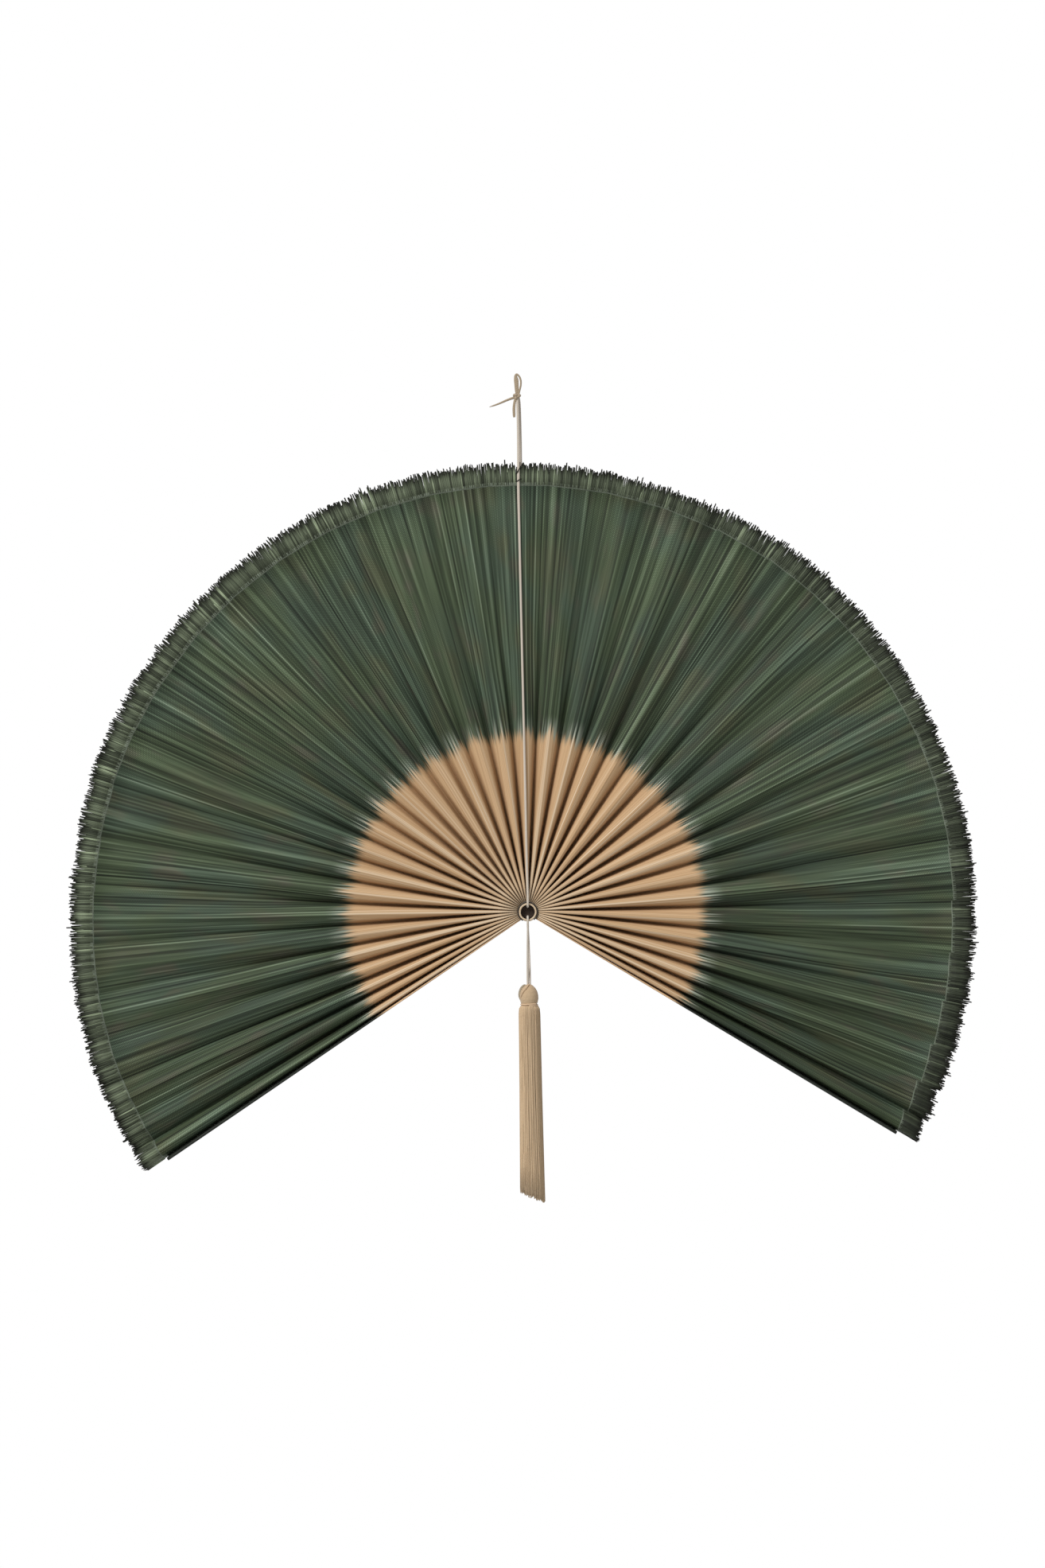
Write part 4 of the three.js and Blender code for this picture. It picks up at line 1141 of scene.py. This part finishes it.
# %% Make the knot
KNOT_TOP, KNOT_BOTTOM, KNOT_RADIUS = 19.0, 28.0, 4.7
KNOT_STRAND, KNOT_TWISTS, KNOT_RINGS = 3.4, 6, 160
KNOT_FOLD, WIDEST_FOLD, TALLEST_FOLD, KNOT_FLAT = 1.3, 2.15, 2.3, 0.8
knot_turn = turns(KNOT_RINGS)
knot_middle = (KNOT_TOP + KNOT_BOTTOM) / 2
wide = KNOT_RADIUS - KNOT_STRAND / 2
tall = (KNOT_BOTTOM - KNOT_TOP) / 2 - KNOT_STRAND / 2
trefoil = np.stack([
    wide * (np.sin(knot_turn) + KNOT_FOLD * np.sin(2 * knot_turn)) / WIDEST_FOLD,
    wide * KNOT_FLAT * -np.sin(3 * knot_turn),
    -knot_middle + tall * (np.cos(knot_turn) - KNOT_FOLD * np.cos(2 * knot_turn)) / TALLEST_FOLD,
], -1)
knot_tangent = unit(np.roll(trefoil, -1, 0) - np.roll(trefoil, 1, 0))
knot_side = unit(np.cross(knot_tangent, np.array([0.31, 0.87, 0.38])))
knot_up = np.cross(knot_tangent, knot_side)
knot_around = turns(CORD_SIDES)
knot_twist = (STRANDS * knot_around - KNOT_TWISTS * knot_turn[:, None]) / (2 * np.pi)
knot_radius = KNOT_STRAND / 2 * (1 - GROOVE * (1 - np.abs(np.sin(np.pi * knot_twist))))
knot_section = knot_radius[..., None] * circle(CORD_SIDES)
knot_points = swept(trefoil, knot_side, knot_up, knot_section)
knot_quads = grid_quads(KNOT_RINGS + 1, CORD_SIDES, wrap=True) % (KNOT_RINGS * CORD_SIDES)
knot_map = together(knot_twist + 100, knot_turn[:, None] * KNOT_TWISTS)
knot = mesh_piece("overhand_knot", knot_points, knot_quads, knot_map)
dress(knot, "hanger", "cotton_cord", HANDLED_COTTON, "hanging_knot")
print("knot:", round(2 * KNOT_RADIUS, 1), "mm across")

# %% [markdown]
# ## Tassel
# The tassel is a bundle of tan cotton yarn. It is folded over its cord, bound at the neck with a thread,
# and cut aslant below. A head of folded yarn is a ribbed dome, and the skirt is several hundred loose
# strands round a core. Each strand is a thin tube with few faces, because so many are needed. Hair could
# show the yarn too, but tubes are plain meshes with faces and a map of their own.

# %% Tassel sizes and cord
TASSEL_LEAN = np.radians(1.0)
HEAD_TOP, NECK_DROP, SKIRT_END, SKIRT_SLANT = 71.8, 94.2, 304.0, 5.5
NECK_RADIUS, SKIRT_TOP_RADIUS, SKIRT_END_RADIUS = 8.2, 12.3, 13.6
TASSEL_TOP = HUB + np.array([0, 0, HUB_WALL / 2 - HUB_RADIUS])
YARN_PALE, YARN_DEEP = paint(206, 180, 146), paint(150, 124, 92)


def hung(points):
    """Tassel points, measured down from the tube's bottom wall, leaned to the right and put in place."""
    points = np.asarray(points, float)
    x, y, z = points[..., 0], points[..., 1], points[..., 2]
    lean_cos, lean_sin = np.cos(TASSEL_LEAN), np.sin(TASSEL_LEAN)
    return TASSEL_TOP + np.stack([x * lean_cos - z * lean_sin, y, x * lean_sin + z * lean_cos], -1)


YARN = cotton("tan_yarn", YARN_PALE, YARN_DEEP)
string, string_path, string_length = twisted_cord("tassel_cotton", hung(TASSEL_ROUTE), CORD, ACROSS)
dress(string, "tassel_string", "cotton_cord", COTTON, "tassel_cord")
print("tassel cord:", round(string_length), "mm")

# %% Head and neck
HEAD_RIBS, HEAD_ROWS, HEAD_SIDES = 54, 40, 216
HEAD_SINK, HEAD_TWIST, HEAD_GROOVE, HEAD_LAY = 2.0, 0.04, 0.015, 30
HEAD_UP = [0, 0.09, 0.17, 0.34, 0.52, 0.7, 0.84, 0.94, 1]
HEAD_OUT = [7.6, 8.4, 9.4, 10.3, 10.1, 8.9, 6.9, 4.4, 2.2]
CHEEK_OUT, CHEEK_TURN, CHEEK_WIDE, CHEEK_UP, CHEEK_TALL = 1.5, 4.35, 0.35, 0.58, 0.22
head_share = np.linspace(0, 1, HEAD_ROWS)[:, None]
head_round = turns(HEAD_SIDES)[None, :]
head_height = -NECK_DROP - HEAD_SINK + (NECK_DROP - HEAD_TOP + HEAD_SINK) * head_share
head_base = np.interp(head_share, HEAD_UP, HEAD_OUT)
head_count = HEAD_RIBS * (head_round / (2 * np.pi) + HEAD_TWIST * head_share)
head_rib = np.abs(np.sin(np.pi * head_count))
off_cheek = ((head_round - CHEEK_TURN) / CHEEK_WIDE) ** 2 + ((head_share - CHEEK_UP) / CHEEK_TALL) ** 2
head_radius = head_base * (1 - HEAD_GROOVE * (1 - head_rib)) + CHEEK_OUT * np.exp(-off_cheek)
head_points = together(head_radius * np.sin(head_round), -head_radius * np.cos(head_round), head_height)
head_map = together(head_count, head_share * HEAD_LAY)
head = mesh_piece("yarn_head", hung(head_points), tube_quads(HEAD_ROWS, HEAD_SIDES), head_map)
dress(head, "tassel", "tassel_yarn", YARN, "tassel_head")

BINDING, WRAPS, WRAP_STEPS, WRAP_PROUD, WRAP_PITCH = 1.7, 1.15, 60, 0.9, 0.98
NECK_THREAD = cotton("neck_thread", paint(226, 198, 164), paint(184, 150, 116))
GREY_COTTON = cotton("grey_cotton", paint(172, 160, 138), paint(124, 112, 92))
wrap_turn = np.linspace(0, 2 * np.pi * WRAPS, int(WRAP_STEPS * WRAPS))
wrap_radius = NECK_RADIUS + WRAP_PROUD
wrap_path = np.stack([wrap_radius * np.sin(wrap_turn), -wrap_radius * np.cos(wrap_turn),
                      -NECK_DROP + BINDING * WRAP_PITCH * (wrap_turn / (2 * np.pi) - WRAPS / 2)], -1)
wrap_out = unit(wrap_path * np.array([1, 1, 0]))
wrap_up = np.cross(unit(np.gradient(wrap_path, axis=0)), wrap_out)
wrap_points = swept(wrap_path, wrap_out, wrap_up, BINDING / 2 * round_section[None])
wrap_map = together(turns(ROUND_SIDES) * 2, wrap_turn[:, None] * 8)
binding = mesh_piece("neck_thread", hung(wrap_points), tube_quads(len(wrap_turn), ROUND_SIDES), wrap_map)
dress(binding, "tassel", "cotton_cord", NECK_THREAD, "tassel_neck_binding")

FOLDED_YARN, LOOSE_THREAD = 3.6, 0.9
FOLD_ROUTE = [(-3.2, 1.6, -73.2), (-5, 2.2, -73), (-8.6, 1.6, -77), (-10.2, 0.4, -83), (-9.2, -0.6, -89)]
THREAD_ROUTE = [(0.6, -3.2, -71.6), (-2.8, -7.6, -74.6), (-6.6, -8, -79), (-9, -5.6, -84.5),
                (-9.8, -1.6, -89)]
FOLD_PRESSED = ((0, 0.5, 0.5), (0.3, 1, 1), (0.8, 1, 1), (1, 0.6, 0.6))
folded, _, _ = twisted_cord("folded_yarn", hung(FOLD_ROUTE), FOLDED_YARN, FORWARDS, FOLD_PRESSED)
dress(folded, "tassel", "tassel_yarn", GREY_COTTON)
stray, _, _ = twisted_cord("crossing_thread", hung(THREAD_ROUTE), LOOSE_THREAD, FORWARDS)
dress(stray, "tassel", "tassel_yarn", NECK_THREAD)
print("head:", round(2 * head_radius.max(), 1), "mm across, binding", WRAPS, "wraps")

# %% Skirt
YARN_COUNT, YARN_SIDES, YARN_WIDTH = 620, 4, 1.05
OUTER_SHARE, OUTER_FROM, INNER_FROM = 0.7, 0.9, 0.4
FALL = np.array([0, 0.008, 0.022, 0.05, 0.12, 0.25, 0.45, 0.65, 0.85, 1])
SHOULDER, SHOULDER_OUT, LAY_LENGTH = [0, 0.008, 0.022, 0.05, 0.5, 1], (10.2, 11.8), 200
YARN_UNEVEN, YARN_FLARE, SLOW_SWAY, QUICK_SWAY = 2.2, 0.6, 0.05, 0.03
yarn_turn = chance.uniform(0, 2 * np.pi, YARN_COUNT)
outer = chance.uniform(OUTER_FROM, 1.0, YARN_COUNT)
inner = chance.uniform(INNER_FROM, OUTER_FROM, YARN_COUNT)
yarn_out = np.where(np.arange(YARN_COUNT) < OUTER_SHARE * YARN_COUNT, outer, inner)
yarn_share = FALL[None, :]
skirt_middle = (SKIRT_TOP_RADIUS + SKIRT_END_RADIUS) / 2
skirt_out = [NECK_RADIUS, *SHOULDER_OUT, SKIRT_TOP_RADIUS, skirt_middle, SKIRT_END_RADIUS + YARN_FLARE]
yarn_base = np.interp(yarn_share, SHOULDER, skirt_out)
yarn_phase = chance.uniform(0, 2 * np.pi, (2, YARN_COUNT, 1))
sway = SLOW_SWAY * np.sin(5 * yarn_share + yarn_phase[0]) * yarn_share
angle = yarn_turn[:, None] + sway + QUICK_SWAY * np.sin(9 * yarn_share + yarn_phase[1])
spread = yarn_base * yarn_out[:, None] - YARN_WIDTH / 2
yarn_long = SKIRT_END - NECK_DROP + chance.normal(0, YARN_UNEVEN, YARN_COUNT).clip(-7, 4)
yarn_x, yarn_y = spread * np.sin(angle), -spread * np.cos(angle)
yarn_z = -NECK_DROP - yarn_share * (yarn_long[:, None] + SKIRT_SLANT * yarn_x / SKIRT_END_RADIUS)
yarn_path = np.stack([yarn_x, yarn_y, yarn_z], -1)
yarn_section = turns(YARN_SIDES) + np.pi / 4
yarn_ring = YARN_WIDTH / 2 * np.stack([np.cos(yarn_section), np.sin(yarn_section), 0 * yarn_section], -1)
yarn_points = yarn_path[:, :, None] + yarn_ring
yarn_lane = np.arange(YARN_COUNT)[:, None, None] * 2 + np.arange(YARN_SIDES) / YARN_SIDES
yarn_map = together(yarn_lane, (yarn_share * LAY_LENGTH)[..., None])
yarn_quads = repeated(tube_quads(len(FALL), YARN_SIDES)[:, ::-1], len(FALL) * YARN_SIDES, YARN_COUNT)

CORE_ROWS, CORE_SIDES, CORE_SHARE, CORE_SHORT, CORE_LANES = 12, 40, 0.86, 8, 12
core_share = np.linspace(0, 1, CORE_ROWS)[:, None]
core_turn = turns(CORE_SIDES)[None, :]
core_out = [NECK_RADIUS, SKIRT_TOP_RADIUS, SKIRT_END_RADIUS]
core_base = CORE_SHARE * np.interp(core_share, [0, 0.09, 1], core_out)
core_x, core_y = core_base * np.sin(core_turn), -core_base * np.cos(core_turn)
core_long = SKIRT_END - NECK_DROP - CORE_SHORT + SKIRT_SLANT * core_x / SKIRT_END_RADIUS
core_z = -NECK_DROP - core_share * core_long
core_points = np.stack([core_x, core_y, core_z], -1)
core_map = together(core_turn * CORE_LANES, core_share * LAY_LENGTH)
core_quads = tube_quads(CORE_ROWS, CORE_SIDES)[:, ::-1]
strands, core = (yarn_points, yarn_map, yarn_quads), (core_points, core_map, core_quads)
skirt_points, skirt_map, skirt_quads = joined([strands, core])
skirt = mesh_piece("yarn_skirt", hung(skirt_points), skirt_quads, skirt_map)
dress(skirt, "tassel", "tassel_yarn", YARN, "tassel_skirt")
print("skirt:", YARN_COUNT, "strands")

# %% [markdown]
# ## Light, floor and background
# The fan is lit as a flat product: one soft lamp from the upper left in front, and an even white room. The
# white room is also the background, at a strength of 1 for what the camera and reflections see. The floor
# lies below.

# %% Light
ROOM_LIGHT = 0.45
LAMP_STRENGTH = 2.4
LAMP_SOFTNESS = np.radians(26)
LAMP_FROM = Vector((-0.46, -0.62, 0.63))
FLOOR_BELOW, FLOOR_RADIUS, FLOOR_SIDES = 1600.0, 900.0, 96

world = bpy.data.worlds.new("white_room")
world.use_nodes = True
bpy.context.scene.world = world
room = Graph(world.node_tree)
back = world.node_tree.nodes["Background"]
rays = room.add("LightPath").outputs
seen = room.math("MAXIMUM", room.math("MAXIMUM", rays["Is Camera Ray"], rays["Is Glossy Ray"]),
                 rays["Is Transmission Ray"])
back.inputs["Color"].default_value = (1, 1, 1, 1)
room.put(back.inputs["Strength"], room.ramp(seen, 0.0, 1.0, ROOM_LIGHT, 1.0))

lamp = bpy.data.lights.new("key", "SUN")
lamp.energy = LAMP_STRENGTH
lamp.angle = LAMP_SOFTNESS
lamp_object = bpy.data.objects.new("key", lamp)
lamp_object.rotation_euler = (-LAMP_FROM).to_track_quat("-Z", "Y").to_euler()
bpy.context.collection.objects.link(lamp_object)

floor_turn = turns(FLOOR_SIDES)[None, :]
floor_ring = np.array([1.0, 0.5 * FLOOR_RADIUS, FLOOR_RADIUS])[:, None]
floor_points = together(floor_ring * np.cos(floor_turn), floor_ring * np.sin(floor_turn), -FLOOR_BELOW)
floor = mesh_piece("floor", floor_points, grid_quads(3, FLOOR_SIDES, wrap=True)[:, ::-1])
floor_paint, _, floor_shader = finish_of("pale_floor")
floor_shader.inputs["Base Color"].default_value = paint(236, 236, 234)
floor_shader.inputs["Roughness"].default_value = 0.8
floor.data.materials.append(floor_paint)
bpy.context.scene.view_settings.view_transform = "Standard"
print("light:", LAMP_STRENGTH, "from the lamp,", ROOM_LIGHT, "from the room")
